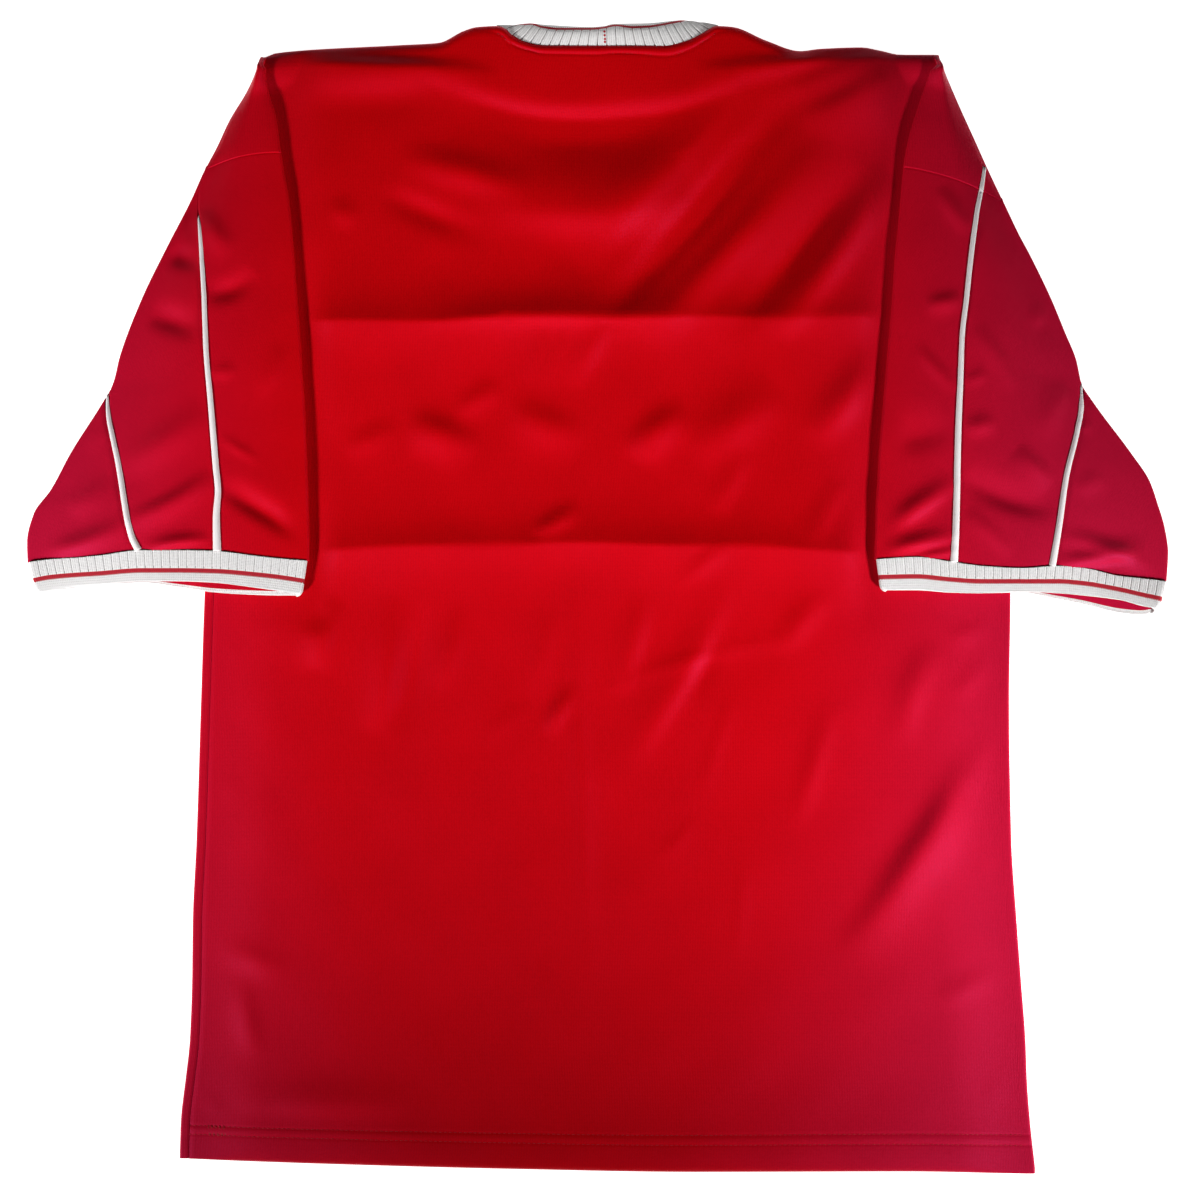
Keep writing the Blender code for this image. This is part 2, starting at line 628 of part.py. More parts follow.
class Ring:
    """One ring of a flattened tube, as points in order with their distance round it.

    It starts at the underarm seam below, runs out round the outer edge, back in over the top and
    round the inner edge to the seam again. Distance is 0 at the outermost point and grows
    inwards on top; below it is negative."""

    BELOW, TURN, ABOVE, HOME = 18, 13, 24, 4
    OUTERMOST = BELOW + TURN // 2
    INNERMOST = BELOW + TURN + ABOVE + TURN // 2

    def __init__(self, side, outer, inner, top_y, bottom_y, low, lift, radii, puff, folds=()):
        self.sign = SIGN[side]
        at_outer, at_inner = outer - radii[0], inner + radii[1]
        turn = np.radians(np.linspace(-90, 90, self.TURN))
        seam = at_inner + UNDERARM_IN
        above = np.linspace(at_outer, at_inner, self.ABOVE)
        self.out = np.concatenate(
            (
                np.linspace(seam, at_outer, self.BELOW),
                at_outer + radii[0] * np.cos(turn),
                above,
                at_inner - radii[1] * np.cos(turn),
                np.linspace(at_inner, seam, self.HOME),
            )
        )
        rise = (1 + np.sin(turn)) / 2
        upper = np.concatenate(
            (np.zeros(self.BELOW), rise, np.ones(self.ABOVE), rise[::-1], np.zeros(self.HOME))
        )
        level = bottom_y(self.out)
        self.y = level + (top_y(self.out) - level) * upper
        over = back_height(self.sign * self.out, level) + lift
        floor = low + (over - low) * body_rise(side, self.out, level)
        ends = floor[self.BELOW] + 2 * radii[0], floor[-self.HOME] + 2 * radii[1]
        f = (at_outer - above) / (at_outer - at_inner)
        top = slice(self.BELOW + self.TURN, self.BELOW + self.TURN + self.ABOVE)
        wrinkles = fold_height(self.sign * above, self.y[top], folds)
        roof = upper_height(f, *ends, puff) + wrinkles * ease(f / 0.15) * ease((1 - f) / 0.12)
        self.z = np.concatenate(
            (
                floor[: self.BELOW],
                floor[self.BELOW] + 2 * radii[0] * rise,
                roof,
                floor[-self.HOME] + 2 * radii[1] * rise[::-1],
                floor[-self.HOME :],
            )
        )
        step = np.sqrt(np.diff(self.out) ** 2 + np.diff(self.y) ** 2 + np.diff(self.z) ** 2)
        self.distance = np.concatenate(([0], np.cumsum(step)))
        self.distance -= self.distance[self.OUTERMOST]
        self.inner_distance = self.distance[self.INNERMOST]

    def over(self, out):
        """Distance of the point at this width on top, or below where it is past the edge."""
        edge = self.out[self.OUTERMOST]
        if out > edge:
            return edge - out
        top = slice(self.OUTERMOST, self.INNERMOST + 1)
        return float(np.interp(-out, -self.out[top], self.distance[top]))

    def body_side(self):
        """Distance of the place below where the tube steps down off the body."""
        below = slice(0, self.BELOW)
        middle = (self.z[0] + self.z[self.BELOW - 1]) / 2
        return float(np.interp(-middle, -self.z[below], self.distance[below]))

    def level(self, out):
        """Y on top at this width."""
        top = slice(self.OUTERMOST, self.INNERMOST + 1)
        return float(np.interp(-out, -self.out[top], self.y[top]))

    def points(self, distance):
        columns = [np.interp(distance, self.distance, part) for part in (self.out, self.y, self.z)]
        return np.stack((self.sign * columns[0], columns[1], columns[2]), axis=-1)

    def outward(self, distance):
        """The direction out of the tube at this distance, across the sleeve and up."""
        step = self.points(distance + 0.4) - self.points(distance - 0.4)
        normal = np.array((self.sign * step[2], 0, -self.sign * step[0]))
        return normal / np.linalg.norm(normal)


def sleeve_ring(side, v):
    """The sleeve's ring, v of the way from the armhole seam to the cuff seam."""
    hole, ends = ARMHOLE[side], CUFF_ENDS[side]
    seam = CUFF[side]["seam"]
    cuff_outer, cuff_inner = float(seam(ends["outer"][0])), float(seam(ends["inner"][0]))
    outer_y = hole["outer"] + (cuff_outer - hole["outer"]) * v
    inner_y = hole["inner"] + (cuff_inner - hole["inner"]) * v
    outer = float(EDGES[side]["outer"](outer_y)) - CLOTH / 2
    inner = float(EDGES[side]["inner"](inner_y)) + CLOTH / 2

    def below(out):
        return outer_y + (inner_y - outer_y) * (outer - out) / (outer - inner)

    def above(out):
        f = (outer - out) / (outer - inner)
        at_cuff = ends["outer"][0] + (ends["inner"][0] - ends["outer"][0]) * f
        bend = seam(at_cuff) - (cuff_outer + (cuff_inner - cuff_outer) * f)
        return below(out) + 4 * hole["bow"] * f * (1 - f) * (1 - v) + bend * v

    puff = CAP_PUFF + (SLEEVE_PUFF - CAP_PUFF) * float(ease(v / 0.4))
    radii = (LAYER / 2, LAYER / 2)
    folds = SLEEVE_FOLDS[side]
    return Ring(side, outer, inner, above, below, CLOTH / 2, LAYER, radii, puff, folds)


def piping_place(side, which, ring):
    """Distance round the ring of a piping's middle, and its radius there."""
    line_of = PIPINGS[side + "_" + which]
    out = (ring.out[ring.OUTERMOST] + ring.out[ring.INNERMOST]) / 2
    for _ in range(8):
        level = ring.level(out)
        out = float(line_of["out"](level))
    return ring.over(out), PIPING * float(line_of["thickness"](level))


def clearance(place, radius, slope):
    """From a piping's middle to the panel's edge, measured along the ring: more where the piping
    runs slantwise, and where it lies in the sleeve's outer fold."""
    return (radius + GAP) * math.hypot(1, slope) * (1 + FOLD_CLEAR * math.exp(-((place / 6) ** 2)))


def sleeve(side):
    """The three panels of a sleeve and its two pipings."""
    shares = spread(0, 1, 17, ARMHOLE_CROWD, CUFF_CROWD, (ROUND_THE_EDGE[side], *CROSSING_CROWD))
    length = ARMHOLE[side]["inner"] - float(CUFF[side]["seam"](CUFF_ENDS[side]["inner"][0]))
    rings = [sleeve_ring(side, v) for v in shares]
    cords, places, clear = {}, {}, {}
    for which in ("inner", "outer"):
        found = [piping_place(side, which, ring) for ring in rings]
        places[which] = np.array([place for place, _ in found])
        slopes = np.gradient(places[which], shares * length)
        clear[which] = [clearance(*pair, slope) for pair, slope in zip(found, slopes)]
        cords[which] = piping(rings, found)
    if side == "right":
        cords["inner"] = cap_piping() + cords["inner"][1:]
    panels = {name: [] for name in SLEEVE_COLUMNS}
    for i, ring in enumerate(rings):
        folds = [(place, *FOLD_CROWD) for place in (0, ring.inner_distance)]
        folds.append((ring.body_side(), *STEP_CROWD))
        inner, outer = places["inner"][i], places["outer"][i]
        ends = {
            "back": (inner + clear["inner"][i], ring.distance[-1] - GAP / 2),
            "band": (outer + clear["outer"][i], inner - clear["inner"][i]),
            "front": (ring.distance[0] + GAP / 2, outer - clear["outer"][i]),
        }
        for name, count in SLEEVE_COLUMNS.items():
            panels[name].append(ring.points(spread(*ends[name], count, *folds)))
    return {name: np.array(grid) for name, grid in panels.items()}, cords


def piping(rings, found):
    """A piping's points from ring to ring, raised out of the seam, each with its radius."""
    points = []
    for ring, (place, radius) in zip(rings, found):
        if radius < THIN_PIPING:
            continue
        point = ring.points(place) + ring.outward(place) * PIPING_LIFT * radius / PIPING
        point[2] = max(point[2], radius + FLOOR_CLEAR)
        points.append(np.array((*point, radius)))
    for end, beside in ((0, 1), (-1, -2)):
        step = points[beside] - points[end]
        points[end] = points[end] + step * PIPING_END / np.linalg.norm(step)
    return points


def cap_piping():
    """The right inner piping's end, which lies on the shoulder cap."""
    edges = EDGES["right"]
    points = []
    for y in CAP_PIPING_ROWS:
        out = float(PIPINGS["right_inner"]["out"](y))
        outer, inner = float(edges["outer"](y)) - CLOTH / 2, float(edges["inner"](y))
        f = max((outer - out) / (outer - inner), 0.0)
        step = SLOPE_STEP / (outer - inner)
        rise = float(cap_height(f + step) - cap_height(max(f - step, 0.0)))
        run = (min(f, step) + step) * (outer - inner)
        normal = np.array((rise, run)) / math.hypot(rise, run)
        away = CLOTH / 2 + CAP_PIPING + 2 * SEAM_CLEAR
        x = min(out + normal[0] * away, outer)
        points.append((x, y, float(cap_height(f)) + normal[1] * away, CAP_PIPING))
    return points


def cuff_ring(side, w):
    """The ring of a cuff's inner surface, w of the way from its seam to its rim."""
    ends, lines = CUFF_ENDS[side], CUFF[side]
    outer = ends["outer"][0] + (ends["outer"][1] - ends["outer"][0]) * w - RIB
    inner = ends["inner"][0] + (ends["inner"][1] - ends["inner"][0]) * w + RIB
    seams = [float(lines["seam"](ends[end][0])) for end in ("outer", "inner")]

    def above(out):
        return lines["seam"](out) - CUFF_CLEAR + (lines["near"](out) - lines["seam"](out)) * w

    def below(out):
        start = seams[0] + (seams[1] - seams[0]) * (outer - out) / (outer - inner) - CUFF_CLEAR
        return start + (lines["far"](out) - start) * w

    lift = CLOTH / 2 + SEAM_CLEAR + RIB
    radii = (CUFF_TURN + (CUFF_GAPE[side] - CUFF_TURN) * w, CUFF_TURN)
    return Ring(side, outer, inner, above, below, RIB, lift, radii, SLEEVE_PUFF)


def cuff(side):
    """A cuff as its inner surface, with the wall's thickness there as a share of RIB."""
    ribs = round((CUFF_ENDS[side]["outer"][0] - CUFF_ENDS[side]["inner"][0]) / RIB_PITCH)
    fold, body = CUFF_FOLD_CROWD, CUFF_STEP_CROWD
    rows = []
    for w in CUFF_ROWS:
        ring = cuff_ring(side, w)
        start, end = RIB_START, ring.inner_distance - RIB_START
        pitch = (end - start) / ribs
        ribbed = [start + pitch * (rib + part) for rib in range(ribs) for part in RIB_PARTS]
        heights = [GROOVE, 1, 1] * ribs if w <= RIB_END else [PLAIN] * 3 * ribs
        step = (ring.body_side(), *body)
        under = spread(ring.distance[0], start, CUFF_PLAIN["under"], (0, *fold), step)[:-1]
        inner_fold = (ring.inner_distance, *fold)
        home = spread(end, ring.distance[-1], CUFF_PLAIN["home"], inner_fold)
        places = np.concatenate((under, ribbed, home))
        plain = [1.0] * len(under), [1.0] * (len(home) - 1)
        share = np.concatenate((plain[0], heights, [heights[0]], plain[1]))
        points = np.column_stack((ring.points(places), share))
        points[-1] = points[0]
        rows.append(points)
    return [facing_up(np.array(rows), side)]


def facing_up(grid, side):
    """The grid with its columns running to +X on top, so its faces look outwards."""
    return grid if side == "left" else grid[:, ::-1]


# ---------------------------------------------------------------- collar

RIM = table(
    "x y",
    (-67, 384),
    (-46, 386),
    (-35, 385),
    (-4, 383.5),
    (5, 384),
    (11, 385.5),
    (34, 386),
    (58, 388),
    (72, 387),
    (85, 384),
)["y"]


def along_neckline(shares):
    """Points of the collar's seam along the back neckline, at shares of its length."""
    x = np.linspace(*COLLAR_SEAM_X, 300)
    neckline = np.stack((x, TOP(x)), axis=1)
    run = np.gradient(neckline, axis=0)
    away = np.stack((-run[:, 1], run[:, 0]), axis=1) / np.hypot(*run.T)[:, None]
    neckline = neckline + away * COLLAR_CLEAR
    along = np.concatenate(([0], np.cumsum(np.hypot(*np.diff(neckline, axis=0).T))))
    return np.stack([np.interp(shares * along[-1], along, part) for part in neckline.T], axis=1)


def front_curve(half, top, drop):
    """The front half's curve on the floor, from right to left."""
    angle = np.linspace(0, math.pi, 17)[1:-1]
    return np.stack((NECK_MIDDLE + half * np.cos(angle), top - drop * np.sin(angle)), axis=1)


def collar():
    """The collar as its inner surface: its back half arches over the neckline and rolls down to
    its rim, and its front half lies under it on the floor, round the front neckline."""
    edges = [(rib + part) / COLLAR_RIBS for rib in range(COLLAR_RIBS) for part in RIB_PARTS]
    shares = np.array([*edges, 1.0])
    ribbed = np.array([GROOVE, 1, 1] * COLLAR_RIBS + [GROOVE])
    plain = np.full(len(shares), PLAIN)
    seam = along_neckline(shares)
    rim_x = COLLAR_RIM_X[0] + (COLLAR_RIM_X[1] - COLLAR_RIM_X[0]) * shares
    rim = np.stack((rim_x, RIM(rim_x) - RIB * PLAIN), axis=1)
    seam_height = NECK_EDGE(seam[:, 0]) - CLOTH / 2
    end_height = RIM_HEIGHT + 2 * COLLAR_TURN
    front_seam = front_curve(NECK_HALF, NECK_TOP, NECK_DROP)
    front_rim = front_curve(NECK_HALF - FRONT_RIM_IN, FRONT_RIM_TOP, FRONT_RIM_DROP)
    rows = []
    for w in COLLAR_ROWS:
        flat = seam + (rim - seam) * (1 - (1 - w) ** RIM_POWER)
        roll = COLLAR_ROLL * math.sin(math.pi * w) * np.sin(math.pi * shares)
        height = seam_height + (end_height - seam_height) * w**ROLL_POWER + roll
        back = np.column_stack((flat, height, ribbed if w <= RIB_END else plain))
        right, left = half_turn(back[-1], RIM_HEIGHT), half_turn(back[0], RIM_HEIGHT)[::-1]
        front = front_seam + (front_rim - front_seam) * w
        front = np.insert(front, 2, [[RIM_HEIGHT], [PLAIN]], axis=1)
        rows.append(np.concatenate((back, right, front, left, back[:1])))
    return [np.array(rows)[::-1]]


def half_turn(start, low):
    """Points from start down to the floor layer, round the collar's folded end."""
    radius = (start[2] - low) / 2
    points = []
    for t in np.radians((45, 0, -45, -90)):
        height = low + radius * (1 + math.sin(t))
        points.append((start[0], start[1] + radius * math.cos(t), height, PLAIN))
    return np.array(points)


# ---------------------------------------------------------------- objects


def material(name, color, roughness):
    made = bpy.data.materials.new(name)
    made.use_nodes = True
    shader = made.node_tree.nodes["Principled BSDF"]
    shader.inputs["Base Color"].default_value = color
    shader.inputs["Roughness"].default_value = roughness
    shader.inputs["Metallic"].default_value = 0.0
    made.diffuse_color = color
    return made


def add(name, data, finish, collection):
    made = bpy.data.objects.new(name, data)
    data.materials.append(finish)
    collection.objects.link(made)
    return made


def wall(name, patches, thickness, offset, finish, collection):
    """Cloth: the patches sewn into one open sheet where their points meet, made solid."""
    places, points, shares, faces = {}, [], [], []
    for grid in patches:
        index = np.zeros(grid.shape[:2], int)
        for i, j in np.ndindex(index.shape):
            point = tuple(np.round(grid[i, j, :3], 4))
            if point not in places:
                places[point] = len(points)
                points.append([MM * part for part in point])
                shares.append(float(grid[i, j, 3]) if grid.shape[2] > 3 else 1.0)
            index[i, j] = places[point]
        for i, j in np.ndindex(index.shape[0] - 1, index.shape[1] - 1):
            faces.append([index[i, j], index[i + 1, j], index[i + 1, j + 1], index[i, j + 1]])
    mesh = bpy.data.meshes.new(name)
    mesh.from_pydata(points, [], faces)
    mesh.shade_smooth()
    made = add(name, mesh, finish, collection)
    group = made.vertex_groups.new(name="thickness")
    for number, share in enumerate(shares):
        group.add([number], share, "REPLACE")
    solid = made.modifiers.new("Wall", "SOLIDIFY")
    solid.thickness = thickness * MM
    solid.offset = offset
    solid.vertex_group = group.name
    return made


def cord(name, points, finish, collection):
    """Piping: a round cord through points that each carry their radius."""
    curve = bpy.data.curves.new(name, "CURVE")
    curve.dimensions = "3D"
    curve.bevel_depth = MM
    curve.bevel_resolution = 1
    curve.use_fill_caps = True
    spline = curve.splines.new("POLY")
    spline.points.add(len(points) - 1)
    for point, (x, y, z, radius) in zip(spline.points, points):
        point.co = (x * MM, y * MM, z * MM, 1)
        point.radius = radius
    return add(name, curve, finish, collection)


def build():
    for old in list(bpy.data.objects):
        bpy.data.objects.remove(old, do_unlink=True)
    jersey = bpy.data.collections.new("football_jersey")
    bpy.context.scene.collection.children.link(jersey)
    red = material("red_knit", RED, 0.6)
    white = material("white_rib", WHITE, 0.75)
    trim = material("white_piping", WHITE, 0.6)
    wall("front_panel", front_panel(), CLOTH, 0, red, jersey)
    wall("back_panel", back_panel(), CLOTH, 0, red, jersey)
    wall("collar", collar(), RIB, 1, white, jersey)
    for side in SIGN:
        panels, cords = sleeve(side)
        for name, grid in panels.items():
            wall(f"sleeve_{side}_{name}", [facing_up(grid, side)], CLOTH, 0, red, jersey)
        for name, points in cords.items():
            cord(f"piping_{side}_{name}", points, trim, jersey)
        wall(f"cuff_{side}", cuff(side), RIB, 1, white, jersey)


build()
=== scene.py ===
"""The football jersey's looks: finer cloth on the forms of its solids, laid out on a pale floor.

Sizes are millimetres, and MM turns them into metres. Widths ("out") run outwards from the centre
line, so the same functions shape the left side (-X) and the right side (+X).
"""

import math

import bpy
import numpy as np
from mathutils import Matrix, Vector


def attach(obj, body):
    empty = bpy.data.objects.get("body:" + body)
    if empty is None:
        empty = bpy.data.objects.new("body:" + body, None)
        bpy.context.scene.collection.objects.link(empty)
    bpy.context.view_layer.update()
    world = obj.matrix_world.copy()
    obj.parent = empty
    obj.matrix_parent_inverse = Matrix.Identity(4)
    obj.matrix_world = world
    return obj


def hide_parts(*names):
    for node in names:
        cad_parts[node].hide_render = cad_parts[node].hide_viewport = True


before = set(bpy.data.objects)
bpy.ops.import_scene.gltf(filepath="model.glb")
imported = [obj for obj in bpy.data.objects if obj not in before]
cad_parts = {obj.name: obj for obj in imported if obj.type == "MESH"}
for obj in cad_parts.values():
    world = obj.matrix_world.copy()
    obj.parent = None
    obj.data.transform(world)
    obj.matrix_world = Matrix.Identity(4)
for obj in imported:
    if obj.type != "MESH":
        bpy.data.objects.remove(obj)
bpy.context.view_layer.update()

MM = 0.001
SIGN = {"left": -1, "right": 1}

# Walls and layers
CLOTH = 1.2  # the solids' cloth
KNIT = 1.0  # the red knit here, inside the solids' cloth
RIB = 2.0  # ribbed trim at its thickest
GROOVE, PLAIN = 0.72, 0.8  # shares of RIB in a groove and on the plain knit
GROOVE_HALF = 0.13  # share of a rib
CROWN, CROWN_WIDE = 0.05, 0.2  # how much flatter a rib's middle is
LAYER = 2.6  # from one layer's middle to the next one's where they fold over
GAP = 0.35  # between the cap and the sleeve at the armhole seam
SEAM_CLEAR = 0.6  # between the layers at a seam
FLOOR_CLEAR = 0.05  # under the piping
SLOPE_STEP = 0.5  # to either side, where a slope is measured

# The body
SIDE_HEIGHT, EDGE_HEIGHT, HEM_HEIGHT = 3.4, 2.25, 2.65
LEAST_HEIGHT, SOFT_LEAST = 2.8, 0.5
INNER_RISE, SIDE_SLOPE = 3.2, 45.0  # up from the side seams, and how far in it ends
SIDE_SEAM_IN, SIDE_SEAM_GAP = 6.5, 0.15  # from the body's sides
UNDER_WRAP = 5.0  # how far the side turn reaches in below
PRESS_IN, PRESS_SOFT = 20.0, 16.0  # where the sleeves press its folds flat: in from their edge
PRESS_LOW, PRESS_LONG = -28.0, 18.0  # and up from this Y
DIP, DIP_IN, DIP_WIDE = 2.6, 4.0, 13.0  # how deep the cloth sinks beside them, and where
DIP_LOW, DIP_LONG, DIP_TOP, DIP_TOP_LONG = -60.0, 260.0, 375.0, 40.0
YOKE_RISE, YOKE_WIDE, YOKE_LONG = 3.0, 75.0, 60.0
TOP_ROUND, HEM_ROUND, HEM_CALM = 7.0, 16.0, 40.0
NECK_MIDDLE, NECK_HALF, NECK_TOP, NECK_DROP = 9.0, 78.0, 378.0, 95.0  # the front neckline
NECK_CLEAR = 1.2
WAVER = 0.6  # how far folds stray from their curves
BACK_ROWS, FRONT_ROWS = (44, 212), (16, 80)  # in the shoulders' part and below it
BACK_COLUMNS = 138
FRONT_LEFT, FRONT_RIGHT = (-220, -73, 14), (92, 223.6, 12)  # beside the neckline
NECK_ENDS = (0.355, 0.665)  # shares of the way across
CREASE_PLACES, HEM_PLACE = (0.245, 0.44), 0.9725  # shares of the way down
EVEN_FROM, EVEN_OVER = 0.05, 0.3  # where columns and rows become even

# The shoulder caps
CAP_END = 0.0853  # share of the way down the body where the caps end
CAP_LEFT_Y, CAP_RIGHT_Y = 298.0, 284.0  # where that is
CAP_OUTER_TOP, CAP_INNER_TOP = 363.0, 362.5
CAP_PUFF, CAP_ROUND = 1.5, 0.2
CAP_OVER = 0.25  # over the sleeve's top at the armhole seam
PLEAT_SHUT = 0.14  # share of the cap's length where the pleat has closed
PLEAT_OPEN = 20.5  # how much further in the body's sheet ends where it is open
PLEAT_TOP, PLEAT_LONG = 362.0, 50.0
LEAST_TURN, LEAST_RUN = 0.4, 0.6
FOLD_IN = 2.6  # from the cap's outer edge in to the turn, at least

# The sleeves
SLEEVE_PUFF, PUFF_FROM = 3.2, 0.4
SLEEVE_RIPPLE = 0.8  # share of the body's
CALM_OUTER, CALM_INNER = 0.15, 0.12  # shares of its width where wrinkles grow from the folds
STEP_OUT, STEP_LONG = 14.0, 12.0  # how a sleeve steps down beside the body
UNDERARM_IN = 6.0  # from the inner fold to the underarm seam below
TUCK = 2.5  # how far a sleeve reaches in under the cap
TUCK_UNDER = 0.9  # how far below its own top that is
ARMHOLE_CROWD, CUFF_CROWD = (0.0, 0.03, 1.5), (1.0, 0.03, 1.5)
FOLD_CROWD, STEP_CROWD = (2.2, 6.0), (7.0, 1.0)
SLEEVE_COLUMNS = {"back": 56, "band": 56, "front": 72}
SLEEVE_ROWS = 110

# The piping
PIPING = 1.9  # half its thickness, before the tables' share
THIN_PIPING = 0.4  # under this it is left out
PIPING_LIFT = 0.5  # how far it stands out of the seam
PIPING_END = 0.4  # how far its ends are drawn back
PIPING_COVER = 0.8  # share of its half width that the panels' edges keep clear
FOLD_CLEAR, FOLD_NEAR = 1.2, 6.0  # more in the outer fold, and how near that counts
CAP_PIPING_ROWS = (288.5, 285.5, 283.0, 280.5, 278.5, 275.0, 272.0)
CAP_PIPING_SHOWS = 1.3  # its middle over the cap's cloth
CAP_PIPING_LEAN = 0.45  # share of that which also moves it outwards

# The cuffs
CUFF_RIBS = 33  # across the top
CUFF_SHARE = 0.7  # of RIB
CUFF_CLEAR = -0.5  # a little under the sleeve's edge
CUFF_CORNER, CUFF_LONG = 2.6, 18.0
CUFF_TURN = 0.9  # the folds' radius
CUFF_GAPE = {"left": 1.0, "right": 2.6}  # the outer fold's radius at the rim
CUFF_ROWS = 30, (0.62, 0.12, 1.0), (1, 0.04, 1.5), (0, 0.04, 1.0)  # and where they crowd
RIM_ROWS = 4  # of them on the rim
RIB_PARTS = (0.0, 0.05, 0.09, 0.14, 0.25, 0.38, 0.5, 0.62, 0.75, 0.86, 0.91, 0.95)
STRIPE_HALF, STRIPE_SOFT = 1.35, 1.2

# The collar
COLLAR_RIBS = 24  # across its back half
COLLAR_ROWS = 34, (0.75, 0.2, 1.0), (1, 0.04, 1.5), (0, 0.04, 1.0)  # and where they crowd
COLLAR_CLEAR = 0.4  # from the neckline
COLLAR_SEAM_X, COLLAR_RIM_X = (-67.0, 81.5), (-57.0, 71.0)
COLLAR_ROLL, COLLAR_TURN, RIM_HEIGHT = 2.2, 0.8, 1.6
DEEPER = 2.0  # its grooves, against the cuffs'
SLIM_ENDS, SLIM_NEAR = 0.72, 0.07
FINER = 1.7  # its stripe, against the cuffs'
RIM_POWER, ROLL_POWER = 1.5, 4.5
FRONT_RIM_TOP, FRONT_RIM_DROP, FRONT_RIM_IN = 383.0, 78.0, 24.0
FRONT_RIBS, FRONT_STRIPE, FRONT_WIDE = 40, 0.62, 22.0
FRONT_POINTS = 6  # to a rib


# ---------------------------------------------------------------- lines and tables


def line(at, value):
    """A smooth line through the given places that doesn't overshoot, level past its ends."""
    step = np.diff(value) / np.diff(at)
    slope = np.zeros(len(at))
    slope[0], slope[-1] = step[0], step[-1]
    same = step[1:] * step[:-1] > 0
    slope[1:-1][same] = 2 * step[1:][same] * step[:-1][same] / (step[1:] + step[:-1])[same]

    def read(place):
        place = np.clip(place, at[0], at[-1])
        i = np.clip(np.searchsorted(at, place) - 1, 0, len(at) - 2)
        width = at[i + 1] - at[i]
        t = (place - at[i]) / width
        rise = (2 * t**3 - 3 * t**2 + 1) * value[i] + (3 * t**2 - 2 * t**3) * value[i + 1]
        return rise + width * ((t**3 - 2 * t**2 + t) * slope[i] + (t**3 - t**2) * slope[i + 1])

    return read


def table(columns, *rows):
    """Each column but the first, as a smooth line over the first."""
    data = np.array(sorted(rows), float).T
    return {name: line(data[0], data[i]) for i, name in enumerate(columns.split()) if i}


def ease(t):
    t = np.clip(t, 0, 1)
    return t * t * (3 - 2 * t)


def rounded(t):
    """A quarter circle's height from 0 to 1."""
    return np.sqrt(1 - (1 - np.clip(t, 0, 1)) ** 2)


def bell(t):
    return np.exp(-(t**2))


def mix(start, end, share):
    return start + (end - start) * share


def summed(steps):
    """The way from the first point to each one, from the steps between them."""
    return np.concatenate(([0], np.cumsum(steps)))


def spread(start, end, count, *peaks):
    """Places from start to end, closer together round each peak (place, width, strength)."""
    fine = np.linspace(start, end, 1500)
    crowd = np.ones(len(fine))
    for place, width, strength in peaks:
        crowd = crowd + strength * np.exp(-(((fine - place) / width) ** 2))
    grown = summed((crowd[1:] + crowd[:-1]) / 2)
    return np.interp(np.linspace(0, grown[-1], count), grown, fine)


BODY = table(
    "y left right",
    (363, 225, 229), (286, 233, 238), (200, 248, 250), (99, 258, 265), (4, 263.5, 278.5),
    (-70, 266, 277.5), (-163, 269, 279), (-217, 271.5, 282.5), (-258, 272, 285.5),
    (-298, 273.5, 288.5), (-325, 276.5, 289.5), (-352, 279.5, 291.5), (-384, 280.5, 295),
)

TOP = table(
    "x y",
    (-240, 358), (-225, 361.5), (-214, 365.5), (-132, 370.5), (-106, 372), (-89, 380),
    (-80, 382.5), (-67, 383), (-62, 381.5), (-57, 377), (-46, 371.5), (-35, 369.5), (5, 369.3),
    (45, 369.3), (61, 373), (73, 379), (81, 383), (91, 382.5), (114, 373.5), (137, 366.5),
    (150, 368), (178, 369), (190, 367), (205, 364), (228, 364), (240, 360),
)["y"]

HEM = table(
    "x y",
    (-281, -377), (-184, -380.5), (-55, -384), (67, -386), (208, -385.7), (295, -387.5),
)["y"]

EDGES = {
    "left": table(
        "y outer inner",
        (362, 226.5, 224), (351, 230, 222), (340, 235, 220), (320, 247, 214.5), (302, 255.5, 212),
        (286, 264, 209.5), (266, 273, 206), (235, 289, 203), (200, 306, 200.5),
        (162, 320.5, 197.5), (144, 325, 196.5), (131, 332, 195.5), (97, 353.5, 194),
        (72, 367, 193), (56, 378.5, 192.5), (37, 383, 192), (10, 382, 193),
    ),
    "right": table(
        "y outer inner",
        (364, 230, 227), (351, 235, 223), (330, 244, 216), (307, 254.5, 209), (287, 263.5, 205.5),
        (265, 274, 203.5), (243, 284.5, 201.5), (230, 291.5, 200), (200, 306, 198),
        (177, 315.5, 196), (160, 322.5, 194.5), (143, 326.5, 193), (131, 334, 192),
        (96, 360, 189), (78, 372, 188), (64, 377, 187), (45, 382.5, 186.5), (30, 384.5, 186),
        (5, 383, 187),
    ),
}

ARMHOLE = {
    "left": {"outer": 286.5, "inner": 297.5, "bow": 2.6},
    "right": {"outer": 265.0, "inner": 287.5, "bow": 3.0},
}

